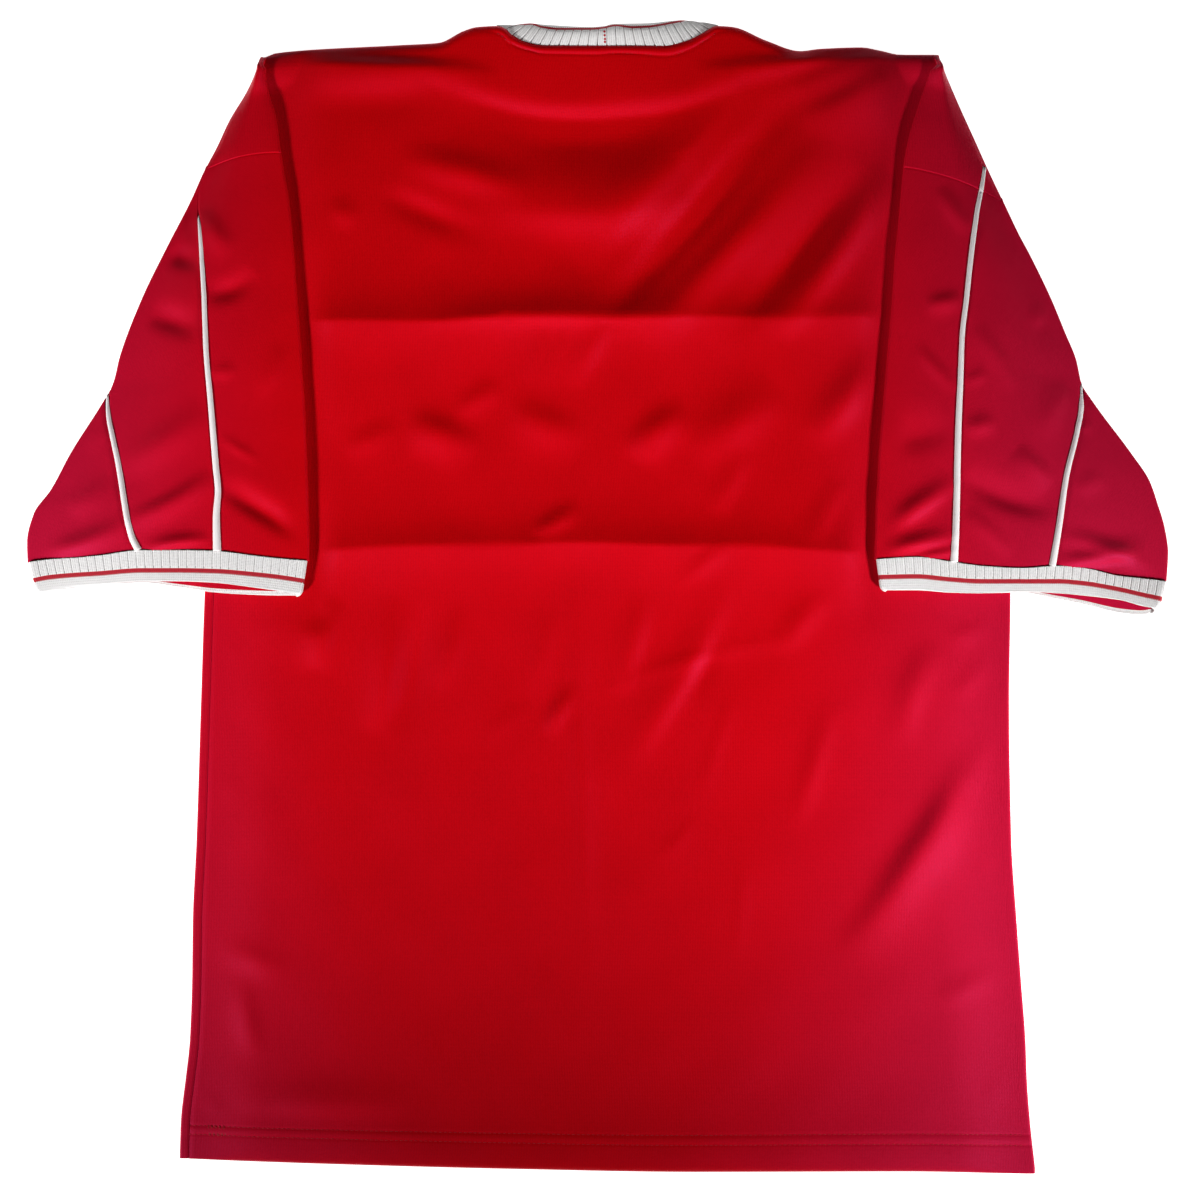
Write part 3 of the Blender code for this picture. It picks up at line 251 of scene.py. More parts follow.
# Y of a cuff's seam, of the middle of its stripe, of its rim on top and of its rim below.
CUFF = {
    "left": table(
        "out seam stripe near far",
        (193, 24, 9.5, 0.5, 1), (212, 25.5, 12.5, 3.5, 1), (230, 27.5, 14.5, 6, 1.5),
        (255, 30.5, 16.5, 9, 3), (281, 31, 17, 10, 6.5), (304, 31, 17, 10, 9.5),
        (333, 27.5, 15, 8, 8), (350, 26, 14, 6.5, 6), (367, 25, 12.5, 4, 4),
        (382.5, 23, 9.5, 2, 2.5),
    ),
    "right": table(
        "out seam stripe near far",
        (187, 25, 12.5, 4.5, 4.5), (214, 26.5, 13, 4.5, 4.5), (236, 23.5, 11, 2.5, 3),
        (257, 20.5, 9.7, 2, 2.5), (284, 19, 9.7, 3, 3), (308, 20.5, 9.7, 2, -1),
        (326, 19, 8.3, 0.5, -4.5), (351, 13.5, 4, -2.5, -10.5), (366, 12, 0.6, -6.5, -12),
        (383, 10, -3, -9, -7),
    ),
}
CUFF_ENDS = {
    "left": {"outer": (382.3, 377.5), "inner": (192.6, 196)},
    "right": {"outer": (384, 379), "inner": (186.2, 189)},
}

# The piping's way down each sleeve, its thickness as a share of PIPING, and how much wider than
# thick it is.
PIPINGS = {
    "left_inner": table(
        "y out thickness wide",
        (286, 262.5, 0, 1), (272, 267.3, 0, 1), (260, 267.2, 0, 1), (254, 266.6, 0.4, 1),
        (248, 265.8, 0.6, 1), (239, 265, 0.72, 1), (200, 262.5, 0.85, 1), (165, 261, 0.9, 1),
        (131, 258, 0.9, 1.1), (88, 254.5, 0.9, 1.2), (71, 253, 0.9, 1.2), (54, 254, 0.9, 1.35),
        (31, 253.5, 0.9, 1.6),
    ),
    "left_outer": table(
        "y out thickness wide",
        (290, 276, 0.45, 1), (245, 304, 0.45, 1), (200, 323, 0.45, 1), (170, 326, 0.4, 1),
        (150, 328, 0.35, 1), (140, 328.5, 0.35, 1), (132, 328.5, 0.5, 1), (121, 327.5, 0.8, 1),
        (107, 324.5, 0.9, 1), (90, 320.5, 0.9, 1.1), (54, 314, 0.9, 1.2), (40, 310.5, 0.9, 1.3),
        (31, 306, 0.9, 1.4),
    ),
    "right_inner": table(
        "y out thickness wide",
        (290, 260.6, 0.6, 1), (283, 259.4, 0.7, 1), (272, 257.6, 0.78, 1), (259, 254.9, 0.85, 1),
        (230, 250.8, 0.9, 1), (200, 247.5, 0.9, 1), (174, 244.5, 0.9, 1), (148, 243.5, 0.9, 1.1),
        (114, 242, 0.9, 1.2), (54, 240.5, 0.9, 1.3), (23, 239, 0.9, 1.5),
    ),
    "right_outer": table(
        "y out thickness wide",
        (268, 286, 0.45, 1), (243, 303, 0.45, 1), (200, 323, 0.45, 1), (175, 325, 0.4, 1),
        (155, 327.5, 0.35, 1), (146, 326, 0.32, 1), (138, 325.8, 0.4, 1), (128, 325.5, 0.85, 1),
        (112, 322.5, 0.9, 1), (81, 314.5, 0.9, 1.1), (49, 309.5, 0.9, 1.2), (20, 304.5, 0.9, 1.4),
    ),
}

# Folds: a ridge (or a trough, where its height is below 0) along the curve from (x0, y0) to
# (x1, y1) that bends towards (xm, ym). It falls off over the left and right width, seen along
# the curve. Its form is SOFT unless a row gives it; towards 1 its crest is a sharp crease.
FOLD_COLUMNS = "x0 y0 xm ym x1 y1 height left right form".split()
SOFT = 2
FOLD_ENDS = 1.1  # how a fold falls off towards its ends
BACK_FOLDS = (
    (-132, 351, 2, 281, 130, 357, -6.6, 8.1, 28.3),
    (93, 344, 137, 347, 194, 372, -2.93, 7.4, 7.4),
    (137, 316, 177, 334, 214, 361, 5.17, 8.7, 20.2),
    (-200, 332, -146, 337, -85, 340, -2.34, 12.1, 13.5),
    (-14, 221, 43, 287, 100, 345, 4.68, 22.9, 10.8),
    (2, 182, 70, 260, 137, 339, -6.55, 10.8, 9.4),
    (29, 170, 100, 240, 154, 308, 5.46, 10.8, 13.5),
    (88, 173, 137, 234, 177, 289, -4.29, 10.8, 9.4),
    (120, 174, 171, 240, 208, 301, 5.86, 10.8, 8.7),
    (-132, 294, -92, 286, -41, 273, 3.31, 10.8, 9.4),
    (-146, 271, -115, 258, -74, 243, -2.54, 6.7, 8.7),
    (-179, 264, -169, 259, -165, 248, 1.56, 6.1, 6.1),
    (-502, 182, 2, 186, 507, 192, 5.52, 17.5, 21.5, 1.2),
    (-119, 185, -25, 192, 70, 188, 3.24, 17.5, 6.1, 1.4),
    (-233, 353, -146, 360, -65, 348, 5.17, 6.1, 22.9),
    (63, 352, 137, 357, 224, 360, 5.07, 6.1, 16.2),
    (-85, 270, 2, 246, 63, 274, 5.52, 32.3, 14.8),
    (-16, 141, -4, 166, 6, 184, 2.11, 10.8, 5.4),
    (-46, 143, -39, 165, -34, 180, 0.88, 3.4, 3.4),
    (-35, 142, -27, 165, -22, 180, 0.88, 3.4, 3.4),
    (-95, 119, -82, 134, -62, 141, 1.76, 6.7, 6.7),
    (-129, 116, -105, 112, -80, 95, 3.51, 9.4, 13.5),
    (-62, 125, -35, 119, -8, 102, 2.81, 10.8, 13.5),
    (24, 92, 36, 112, 62, 125, 3.69, 8.7, 12.1),
    (63, 94, 93, 116, 123, 139, 3.33, 16.2, 13.5),
    (145, 102, 171, 136, 196, 169, 4.21, 11.4, 9.4),
    (78, 55, 90, 75, 102, 99, 1.76, 9.4, 5.4),
    (145, 35, 156, 59, 167, 80, 1.58, 9.4, 4),
    (-169, 98, -152, 106, -134, 116, 1.4, 6.7, 8.1),
    (-502, -2, -4, 76, 507, -6, 5.52, 17.5, 21.5, 1.2),
    (-41, 42, -28, 50, -11, 61, 2.63, 4.7, 6.1, 1.6),
    (54, 8, 73, 25, 90, 35, 1.08, 5.4, 6.7),
    (-187, -50, -185, -26, -174, -1, 3.1, 13.5, 7.4),
    (-151, -91, -138, -56, -134, 1, 2.32, 12.1, 6.1),
    (-134, -90, -120, -56, -116, -1, -1.86, 6.1, 8.1),
    (-105, -63, -95, -36, -91, -5, 1.55, 8.1, 6.7),
    (-41, -69, -35, -36, -33, -9, 1.39, 8.1, 6.7),
    (-16, 35, -10, -123, -4, -278, 1.72, 8.1, 8.1, 1.3),
    (-34, -92, -25, -77, -15, -60, 2.48, 4.7, 4.7),
    (-74, -98, -62, -83, -45, -73, 0.77, 4.7, 4.7),
    (16, -66, 24, -32, 35, 3, 2.01, 10.8, 5.4),
    (21, -115, 56, -63, 91, 7, 2.17, 13.5, 6.1),
    (63, -69, 73, -46, 82, -29, -1.24, 5.4, 6.7),
    (120, -36, 137, -19, 152, 5, 1.55, 8.1, 8.1),
    (-6, -67, 63, -37, 145, -26, 0.85, 4, 4, 1.5),
    (39, -177, 53, -165, 70, -147, 0.7, 3.4, 3.4),
    (71, -137, 80, -96, 95, -63, 0.7, 4, 4),
    (94, -244, 98, -211, 99, -176, 0.62, 3.4, 3.4),
    (-39, -241, -33, -271, -23, -299, 0.62, 3.4, 3.4),
    (134, -157, 145, -116, 158, -69, 1.39, 6.7, 6.7),
    (163, -244, 224, -170, 261, -93, 5.55, 10.1, 18.8, 1.8),
    (202, -100, 212, -63, 226, -29, 2.48, 10.8, 9.4),
    (247, -133, 265, -100, 282, -63, 2.94, 6.7, 9.4),
    (241, -68, 261, -46, 280, -21, 2.63, 5.4, 6.1),
    (235, -30, 258, -21, 278, -1, 2.17, 5.4, 6.1),
    (258, -204, 272, -164, 281, -123, 1.55, 8.1, 8.1),
    (-228, -309, -236, -281, -240, -256, 2.17, 9.4, 6.1),
    (-248, -337, -186, -344, -108, -336, 2.01, 13.5, 8.1),
    (-267, -236, -237, -239, -205, -252, 1.55, 8.7, 8.1),
    (-272, -328, -263, -337, -252, -347, 1.86, 4.7, 5.4),
    (-263, -9, -257, -29, -240, -42, 1.39, 6.1, 6.7),
    (-270, -116, -257, -127, -237, -131, 1.24, 6.7, 6.7),
    (224, -271, 255, -261, 280, -244, 1.39, 6.7, 8.1),
    (261, -342, 272, -332, 284, -312, 1.39, 6.7, 6.7),
)
SLEEVE_FOLDS = {
    "left": (
        (-264, 259, -257, 242, -243, 229, 1.95, 6.7, 8.7),
        (-294, 232, -279, 227, -263, 223, -2.55, 7.4, 6.1),
        (-263, 204, -245, 200, -229, 219, -2.85, 6.1, 6.1),
        (-303, 190, -287, 185, -264, 177, -3, 9.4, 6.7),
        (-319, 85, -290, 102, -261, 125, 2.55, 9.4, 10.8),
        (-318, 49, -282, 60, -257, 83, 3.3, 5.4, 8.1),
        (-376, 29, -341, 33, -314, 52, 3, 5.4, 6.1),
        (-302, 33, -279, 38, -257, 38, 2.55, 4.7, 3.4),
        (-253, 75, -232, 60, -191, 38, -3.3, 8.1, 5.4),
        (-252, 108, -240, 98, -225, 90, 0.9, 3.4, 3.4),
        (-259, 150, -250, 150, -240, 153, 1.05, 4.7, 4),
        (-353, 55, -340, 65, -325, 80, 1.5, 6.7, 6.7),
        (-346, 99, -338, 106, -329, 116, 1.2, 6.1, 4.7),
        (-225, 133, -216, 149, -210, 170, 0.9, 6.7, 5.4),
    ),
    "right": (
        (230, 274, 238, 259, 250, 243, 1.8, 5.4, 5.4),
        (219, 195, 231, 197, 245, 201, 2.25, 4.7, 6.1),
        (253, 182, 265, 165, 280, 138, 1.65, 5.4, 6.1),
        (215, 169, 226, 154, 243, 137, 1.35, 4, 4.7),
        (245, 143, 253, 146, 263, 150, 1.05, 4, 4),
        (245, 112, 255, 114, 269, 116, 1.95, 6.1, 5.4),
        (195, 106, 214, 106, 239, 116, -2.55, 14.8, 9.4),
        (188, 44, 214, 57, 241, 79, 3.6, 7.4, 6.1),
        (183, 30, 211, 34, 243, 41, 3.45, 6.1, 4),
        (216, 27, 230, 28, 242, 31, 1.35, 2.7, 2.7),
        (245, 81, 270, 61, 309, 60, -3.6, 10.1, 6.7),
        (281, 99, 290, 90, 304, 75, 2.4, 5.4, 9.4),
        (247, 57, 261, 45, 278, 28, 1.65, 5.4, 5.4),
        (298, 106, 309, 129, 317, 147, 1.35, 9.4, 6.7),
        (307, 23, 336, 23, 367, 33, 3.75, 6.1, 4),
        (308, 41, 342, 36, 379, 15, 2.85, 5.4, 5.4),
        (319, 71, 329, 75, 340, 83, 1.35, 6.1, 6.1),
        (298, 180, 292, 188, 305, 200, 1.05, 6.1, 6.1),
        (324, 126, 328, 127, 333, 130, 0.9, 2.7, 2.7),
        (323, 112, 327, 114, 333, 116, 0.9, 2.7, 2.7),
    ),
}
# Soft unevenness all over the cloth: waves of a length, direction in degrees, shift and height.
RIPPLES = (
    (131, 12, 0.3, 0.16), (97, 101, 1.9, 0.14), (73, 63, 4.2, 0.10), (59, 148, 2.6, 0.09),
    (41, 35, 5.1, 0.05), (37, 117, 0.8, 0.05),
)


def near(places, curve, reach):
    return (places[:, 0] > curve.min() - reach) & (places[:, 0] < curve.max() + reach)


def fold_height(x, y, folds):
    """How far the folds lift the cloth at these places."""
    shape = np.broadcast(x, y).shape
    px = np.broadcast_to(x + WAVER * np.sin(y / 17 + x / 41), shape).reshape(-1, 1)
    py = np.broadcast_to(y + WAVER * np.sin(x / 19 - y / 37), shape).reshape(-1, 1)
    total = np.zeros(px.shape[0])
    t = np.linspace(0, 1, 21)
    bend = (1 - t) ** 2, 2 * t * (1 - t), t * t
    rows = np.arange(len(total))
    for row in folds:
        fold = {"form": SOFT, **dict(zip(FOLD_COLUMNS, row))}
        cx = bend[0] * fold["x0"] + bend[1] * fold["xm"] + bend[2] * fold["x1"]
        cy = bend[0] * fold["y0"] + bend[1] * fold["ym"] + bend[2] * fold["y1"]
        reach = 3 * max(fold["left"], fold["right"]) * (SOFT / fold["form"])
        close = near(px, cx, reach) & near(py, cy, reach)
        if not close.any():
            continue
        dx, dy = np.diff(cx), np.diff(cy)
        ax, ay = px[close] - cx[:-1], py[close] - cy[:-1]
        share = np.clip((ax * dx + ay * dy) / (dx**2 + dy**2), 0, 1)
        away = np.hypot(ax - share * dx, ay - share * dy)
        best = away.argmin(axis=1)
        pick = rows[: len(best)], best
        along = (best + share[pick]) / len(dx)
        is_left = dx[best] * ay[pick] - dy[best] * ax[pick] > 0
        width = np.where(is_left, fold["left"], fold["right"])
        lift = fold["height"] * np.sin(math.pi * along) ** FOLD_ENDS
        total[close] += lift * np.exp(-((away[pick] / width) ** fold["form"]))
    return total.reshape(shape)


def ripple(x, y):
    """How far the soft unevenness lifts the cloth."""
    total = 0
    for length, degrees, shift, height in RIPPLES:
        angle = math.radians(degrees)
        along = x * math.cos(angle) + y * math.sin(angle)
        total = total + height * np.sin(along * 2 * math.pi / length + shift)
    return total


# ---------------------------------------------------------------- the body's two panels

# Height of the back neckline
NECK_EDGE = table(
    "x height",
    (-125, 2.25), (-100, 2.5), (-80, 3.4), (-67, 4.3), (-50, 6.0), (-30, 7.2), (9, 7.6),
    (50, 7.2), (66, 6.0), (84, 4.3), (98, 3.4), (120, 2.5), (140, 2.25),
)["height"]

# The seam allowance under the neckline: its stitch line's way below the edge, and how far the
# cloth swells between them, at each x.
NECK_SEAM = table(
    "x depth swell",
    (-74, 3.5, 0), (-62, 5.2, 0.7), (-46, 4.6, 1), (-35, 5.2, 1), (1, 5.6, 1), (14, 4.8, 1),
    (29, 5.3, 1), (45, 6.5, 1), (56, 6.4, 1), (72, 5.0, 0.9), (88, 3.5, 0),
)
NECK_SWELL, NECK_FORM = 0.9, 0.7
STITCH_SINK, STITCH_WIDE = 0.55, 0.75

# The hem's two stitch lines above its edge
HEM_STITCHES = table(
    "x upper lower",
    (-281, 22.5, 16.5), (-150, 23.5, 17.5), (0, 24.5, 18.0), (295, 26.0, 19.0),
)
HEM_SINK, HEM_WIDE = 0.28, 0.8
HEM_SWELL, HEM_SWELL_WIDE = 0.3, 2.2


def top_slope(x):
    return (TOP(x + SLOPE_STEP) - TOP(x - SLOPE_STEP)) / (2 * SLOPE_STEP)


def neck_distance(x, y):
    """Distance below the back neckline, square to it."""
    return (TOP(x) - y) / np.hypot(1, top_slope(x))


def front_top(x):
    """The front panel's upper edge: the shoulders, and the front neckline between them."""
    across = np.clip(np.abs(x - NECK_MIDDLE) / (NECK_HALF + NECK_CLEAR), 0, 1)
    neck = NECK_TOP - (NECK_DROP + NECK_CLEAR) * np.sqrt(1 - across**2)
    return np.where(across < 1, np.minimum(neck, TOP(x)), TOP(x))


def inner_edge(x, y):
    """The sleeve's inner edge, on the side where x is."""
    return np.where(x < 0, EDGES["left"]["inner"](y), EDGES["right"]["inner"](y))


def unpressed(x, y):
    """Share of its folds that the back panel keeps: none of them under the sleeves."""
    beside = ease((np.abs(x) - inner_edge(x, y) + PRESS_IN) / PRESS_SOFT)
    return 1 - beside * ease((y - PRESS_LOW) / PRESS_LONG)


def dip(x, y):
    """How far the cloth sinks beside the sleeves, more so up at the shoulders."""
    beside = bell((inner_edge(x, y) - np.abs(x) - DIP_IN) / DIP_WIDE)
    return DIP * ease((y - DIP_LOW) / DIP_LONG) * beside * ease((DIP_TOP - y) / DIP_TOP_LONG)


def back_height(x, y):
    """Height of the middle of the back panel's wall."""
    from_top = TOP(x) - y
    from_hem = y - HEM(x)
    from_side = np.where(x < 0, x + BODY["left"](y), BODY["right"](y) - x)
    inside = ease((from_side - SIDE_SEAM_IN) / SIDE_SLOPE)
    yoke = np.exp(-(((x - NECK_MIDDLE) / YOKE_WIDE) ** 2) - (from_top / YOKE_LONG) ** 2)
    full = SIDE_HEIGHT + INNER_RISE * inside + YOKE_RISE * yoke
    calm = ease(from_hem / HEM_CALM)
    full = full + fold_height(x, y, BACK_FOLDS) * inside * calm * unpressed(x, y)
    full = full + ripple(x, y) * inside - dip(x, y)
    full = LEAST_HEIGHT + np.logaddexp(0, (full - LEAST_HEIGHT) / SOFT_LEAST) * SOFT_LEAST
    edge = NECK_EDGE(x)
    height = edge + (full - edge) * rounded(from_top / TOP_ROUND)
    height = HEM_HEIGHT + (height - HEM_HEIGHT) * rounded(from_hem / HEM_ROUND)
    return height + seam_relief(x, y, from_hem)


def seam_relief(x, y, from_hem):
    """The swell and the stitch line along the neckline, and the hem's two stitch lines."""
    away, depth = neck_distance(x, y), NECK_SEAM["depth"](x)
    swell = NECK_SWELL * np.sin(math.pi * np.clip(away / depth, 0, 1)) ** NECK_FORM
    neck = swell - STITCH_SINK * bell((away - depth) / STITCH_WIDE)
    upper, lower = HEM_STITCHES["upper"](x), HEM_STITCHES["lower"](x)
    hem = HEM_SWELL * bell((from_hem - (upper + lower) / 2) / HEM_SWELL_WIDE)
    for stitch in (upper, lower):
        hem = hem - HEM_SINK * bell((from_hem - stitch) / HEM_WIDE)
    return neck * NECK_SEAM["swell"](x) + hem


def row_y(x, across, down, top):
    """Y of a row. The right cap reaches lower than the left one, so the rows slant there."""
    slant = ease(down / CAP_END) * (1 - ease((down - CAP_END) / EVEN_OVER))
    return top(x) + (HEM(x) - top(x)) * down - (CAP_LEFT_Y - CAP_RIGHT_Y) * across * slant


def shoulder_inset(y):
    """From the body's side in to the back panel's main sheet: wider where the pleat opens out."""
    return SIDE_SEAM_IN + PLEAT_OPEN * (1 - ease((PLEAT_TOP - y) / PLEAT_LONG))


def sheet_grid(rows, columns, inset_left, inset_right, top=TOP):
    """X and Y of a main sheet. Columns and rows are shares of its width and length."""
    x = np.zeros((len(rows), len(columns)))
    y = np.zeros_like(x)
    even = np.linspace(0, 1, len(columns))
    for i, down in enumerate(rows):
        across = columns + (even - columns) * ease((down - EVEN_FROM) / EVEN_OVER)
        reach = []
        for side, inset, end in (("left", inset_left, 0.0), ("right", inset_right, 1.0)):
            level = TOP(0.0) * (1 - down) + HEM(0.0) * down
            for _ in range(4):
                out = float(BODY[side](level) - inset(level))
                level = float(row_y(SIGN[side] * out, end, down, TOP))
            reach.append(SIGN[side] * out)
        x[i] = mix(*reach, across)
        y[i] = row_y(x[i], across, down, top)
    return x, y


def cap_height(f):
    """Height of the shoulder cap's upper layer at share f from its outer to its inner edge."""
    roof = upper_height(f, CLOTH / 2 + LAYER, SIDE_HEIGHT + 2 * LAYER, CAP_PUFF)
    return mix(EDGE_HEIGHT, roof, rounded(f / CAP_ROUND))


def cap_row(side, w):
    """Outer and inner end of the cap's upper layer, w of the way down to the armhole seam."""
    hole = ARMHOLE[side]
    outer_y = mix(CAP_OUTER_TOP, hole["outer"] + GAP, w)
    inner_y = mix(CAP_INNER_TOP, hole["inner"] + GAP, w)
    outer, inner = sleeve_ends(side, outer_y, inner_y)
    return outer, outer_y, inner, inner_y


def sleeve_ends(side, outer_y, inner_y):
    """X of the cloth's middle at the sleeve's outer and inner edge, as ways out."""
    edges = EDGES[side]
    return float(edges["outer"](outer_y)) - CLOTH / 2, float(edges["inner"](inner_y)) + CLOTH / 2


def between(start, end, count):
    """Points on the straight way from one point to another, without its ends."""
    start, end = np.array(start, float), np.array(end, float)
    return [tuple(mix(start, end, t)) for t in np.linspace(0, 1, count + 2)[1:-1]]


CAP_COLUMNS = np.concatenate((np.linspace(0.97, 0.2, 30), np.linspace(0.18, 0.0, 12)))
CAP_CALM = 12.0  # its folds start this far below the shoulder


def pleat(side, rows_down, x, y, z):
    """The shoulder cap. The sheet turns back at the body's side and on again at the cap's inner
    edge, then runs on top to the sleeve's outer edge. Up at the shoulder the turns open out."""
    grid = []
    radius = LAYER / 2
    ring = sleeve_ring(side, 0.0)
    sleeve_top = ring.points(np.linspace(0, ring.inner_distance, 80))
    for i, down in enumerate(rows_down):
        w = down / CAP_END
        outer, outer_y, inner, inner_y = cap_row(side, w)
        opened = 1 - min(w / PLEAT_SHUT, 1)
        angle = np.linspace(0, math.pi - (math.pi - LEAST_TURN) * opened, 9)
        across, up = radius * np.sin(angle), radius * (1 - np.cos(angle))
        start = SIGN[side] * x[i]
        side_line = float(BODY[side](y[i])) - CLOTH / 2
        turn = min(side_line - radius, outer - FOLD_IN - 2 * across[-1])
        run = max((turn - inner - radius) * (1 - opened), LEAST_RUN)
        back = turn + 2 * across[-1] + run * math.cos(angle[-1])
        roof = z[i] + 2 * up[-1] + run * math.sin(angle[-1])
        level = y[i] + float(TOP(SIGN[side] * turn) - TOP(SIGN[side] * start)) * (1 - w) ** 2
        rows = [(start, y[i], z[i])]
        rows += between(rows[0], (turn, level, z[i]), 3)
        rows += [(turn + out, level, z[i] + rise) for out, rise in zip(across, up)]
        arc = [(back - out, inner_y, roof - rise) for out, rise in zip(across[::-1], up[::-1])]
        rows += between(rows[-1], arc[0], 5) + arc
        share = (roof - EDGE_HEIGHT) / float(cap_height(1) - EDGE_HEIGHT)
        for f in CAP_COLUMNS:
            bow = 4 * ARMHOLE[side]["bow"] * f * (1 - f) * w
            place = mix(outer, back, f)
            height = EDGE_HEIGHT + float(cap_height(f) - EDGE_HEIGHT) * share
            meets = float(np.interp(-place, -np.abs(sleeve_top[:, 0]), sleeve_top[:, 2]))
            joins = w**3 * float(ease((1 - f) / 0.15) * ease(f / 0.1))
            height += (meets + CAP_OVER - height) * joins
            rows.append((place, mix(outer_y, inner_y, f) + bow, height))
        grid.append(rows)
    grid = np.array(grid)
    grid[:, :, 0] *= SIGN[side]
    grid[0, :, 1] = TOP(grid[0, :, 0])
    on_top = grid[:, -len(CAP_COLUMNS) :]
    level, f = on_top[:, :, 1], CAP_COLUMNS[None, :]
    from_top = TOP(on_top[:, :, 0]) - level
    calm = ease(f / 0.15) * ease((1 - f) / 0.1) * ease(from_top / CAP_CALM)
    on_top[:, :, 2] += calm * fold_height(on_top[:, :, 0], level, SLEEVE_FOLDS[side])
    return grid if side == "right" else grid[:, ::-1]


def side_turn(side, y, z):
    """The sheet's way round the body's side, from the seam on top to UNDER_WRAP below."""
    grid = []
    for level, height in zip(y, z):
        radius = (height - CLOTH / 2) / 2
        body = float(BODY[side](level))
        middle = body - CLOTH / 2 - radius
        row = [(body - SIDE_SEAM_IN, level, height)]
        row += between(row[0], (middle, level, height), 1)
        for t in np.radians(np.linspace(90, -90, 11)):
            out, rise = radius * math.cos(t), radius * math.sin(t)
            row.append((middle + out, level, CLOTH / 2 + radius + rise))
        row.append((body - UNDER_WRAP, level, CLOTH / 2))
        grid.append(row)
    grid = np.array(grid)
    grid[:, :, 0] *= SIGN[side]
    return grid


def body_rows(caps, below, crowds):
    """Shares of the way down the body, and the number of the last row of the shoulder caps."""
    cap = spread(0, CAP_END, caps, (0, 0.008, 3.5 * crowds), (CAP_END, 0.005, 2 * crowds))
    creases = [(place, 0.012, 2 * crowds) for place in CREASE_PLACES]
    hem = (HEM_PLACE, 0.012, 6 * crowds), (1, 0.004, 4 * crowds)
    lower = spread(CAP_END, 1, below, *creases, *hem)
    return np.concatenate((cap, lower[1:])), caps - 1


def back_panel():
    rows, last = body_rows(*BACK_ROWS, 1)
    columns = spread(0, 1, BACK_COLUMNS, *((place, 0.035, 1.2) for place in NECK_ENDS))
    x, y = sheet_grid(rows, columns, shoulder_inset, shoulder_inset)
    z = back_height(x, y)
    turned = side_turn("right", y[last + 1 :, -1], z[last + 1 :, -1])
    turned[:, 0, 0] = x[last + 1 :, -1]
    caps = [
        pleat("left", rows[: last + 1], x[:, 0], y[:, 0], z[:, 0]),
        pleat("right", rows[: last + 1], x[:, -1], y[:, -1], z[:, -1]),
    ]
    x[last + 1 :, 0] += SIDE_SEAM_GAP
    return [np.stack((x, y, z), axis=2), *caps, turned]


def front_panel():
    rows, last = body_rows(*FRONT_ROWS, 0.3)
    floor = CLOTH / 2
    neck = NECK_MIDDLE - (NECK_HALF + NECK_CLEAR) * np.cos(np.linspace(0, math.pi, 40))
    places = np.concatenate((np.linspace(*FRONT_LEFT), neck, np.linspace(*FRONT_RIGHT)))
    columns = (places - places[0]) / (places[-1] - places[0])
    right_end = UNDER_WRAP + SEAM_CLEAR
    x, y = sheet_grid(rows, columns, lambda _: UNDER_WRAP, lambda _: right_end, front_top)
    patches = [np.stack((x, y, np.full(x.shape, floor)), axis=2)]
    for side, edge in (("left", 0), ("right", -1)):
        grid = []
        for i in range(last + 1):
            outer, outer_y, _, _ = cap_row(side, rows[i] / CAP_END)
            t = np.linspace(0, 1, 7)
            out = mix(SIGN[side] * x[i, edge], outer, t)
            level = mix(y[i, edge], outer_y, t) if i else TOP(SIGN[side] * out)
            grid.append(np.stack((SIGN[side] * out, level, np.full(7, floor)), axis=1))
        patches.append(np.array(grid) if edge else np.array(grid)[:, ::-1])
    level = y[last + 1 :, 0]
    seam = back_height(-BODY["left"](level) + SIDE_SEAM_IN, level)
    turned = side_turn("left", level, seam)
    turned[:, -1, 0] = x[last + 1 :, 0]
    return [*patches, turned]


# ---------------------------------------------------------------- sleeves, piping and cuffs


def upper_height(f, outer, inner, puff):
    """Height of a sleeve's upper layer at share f from its outer to its inner edge."""
    return mix(outer, inner, ease(f / 0.5)) + puff * 4 * f * (1 - f)


def body_rise(side, out, y):
    """0 beside the body and 1 on top of it."""
    return ease((BODY[side](y) + STEP_OUT - out) / STEP_LONG)


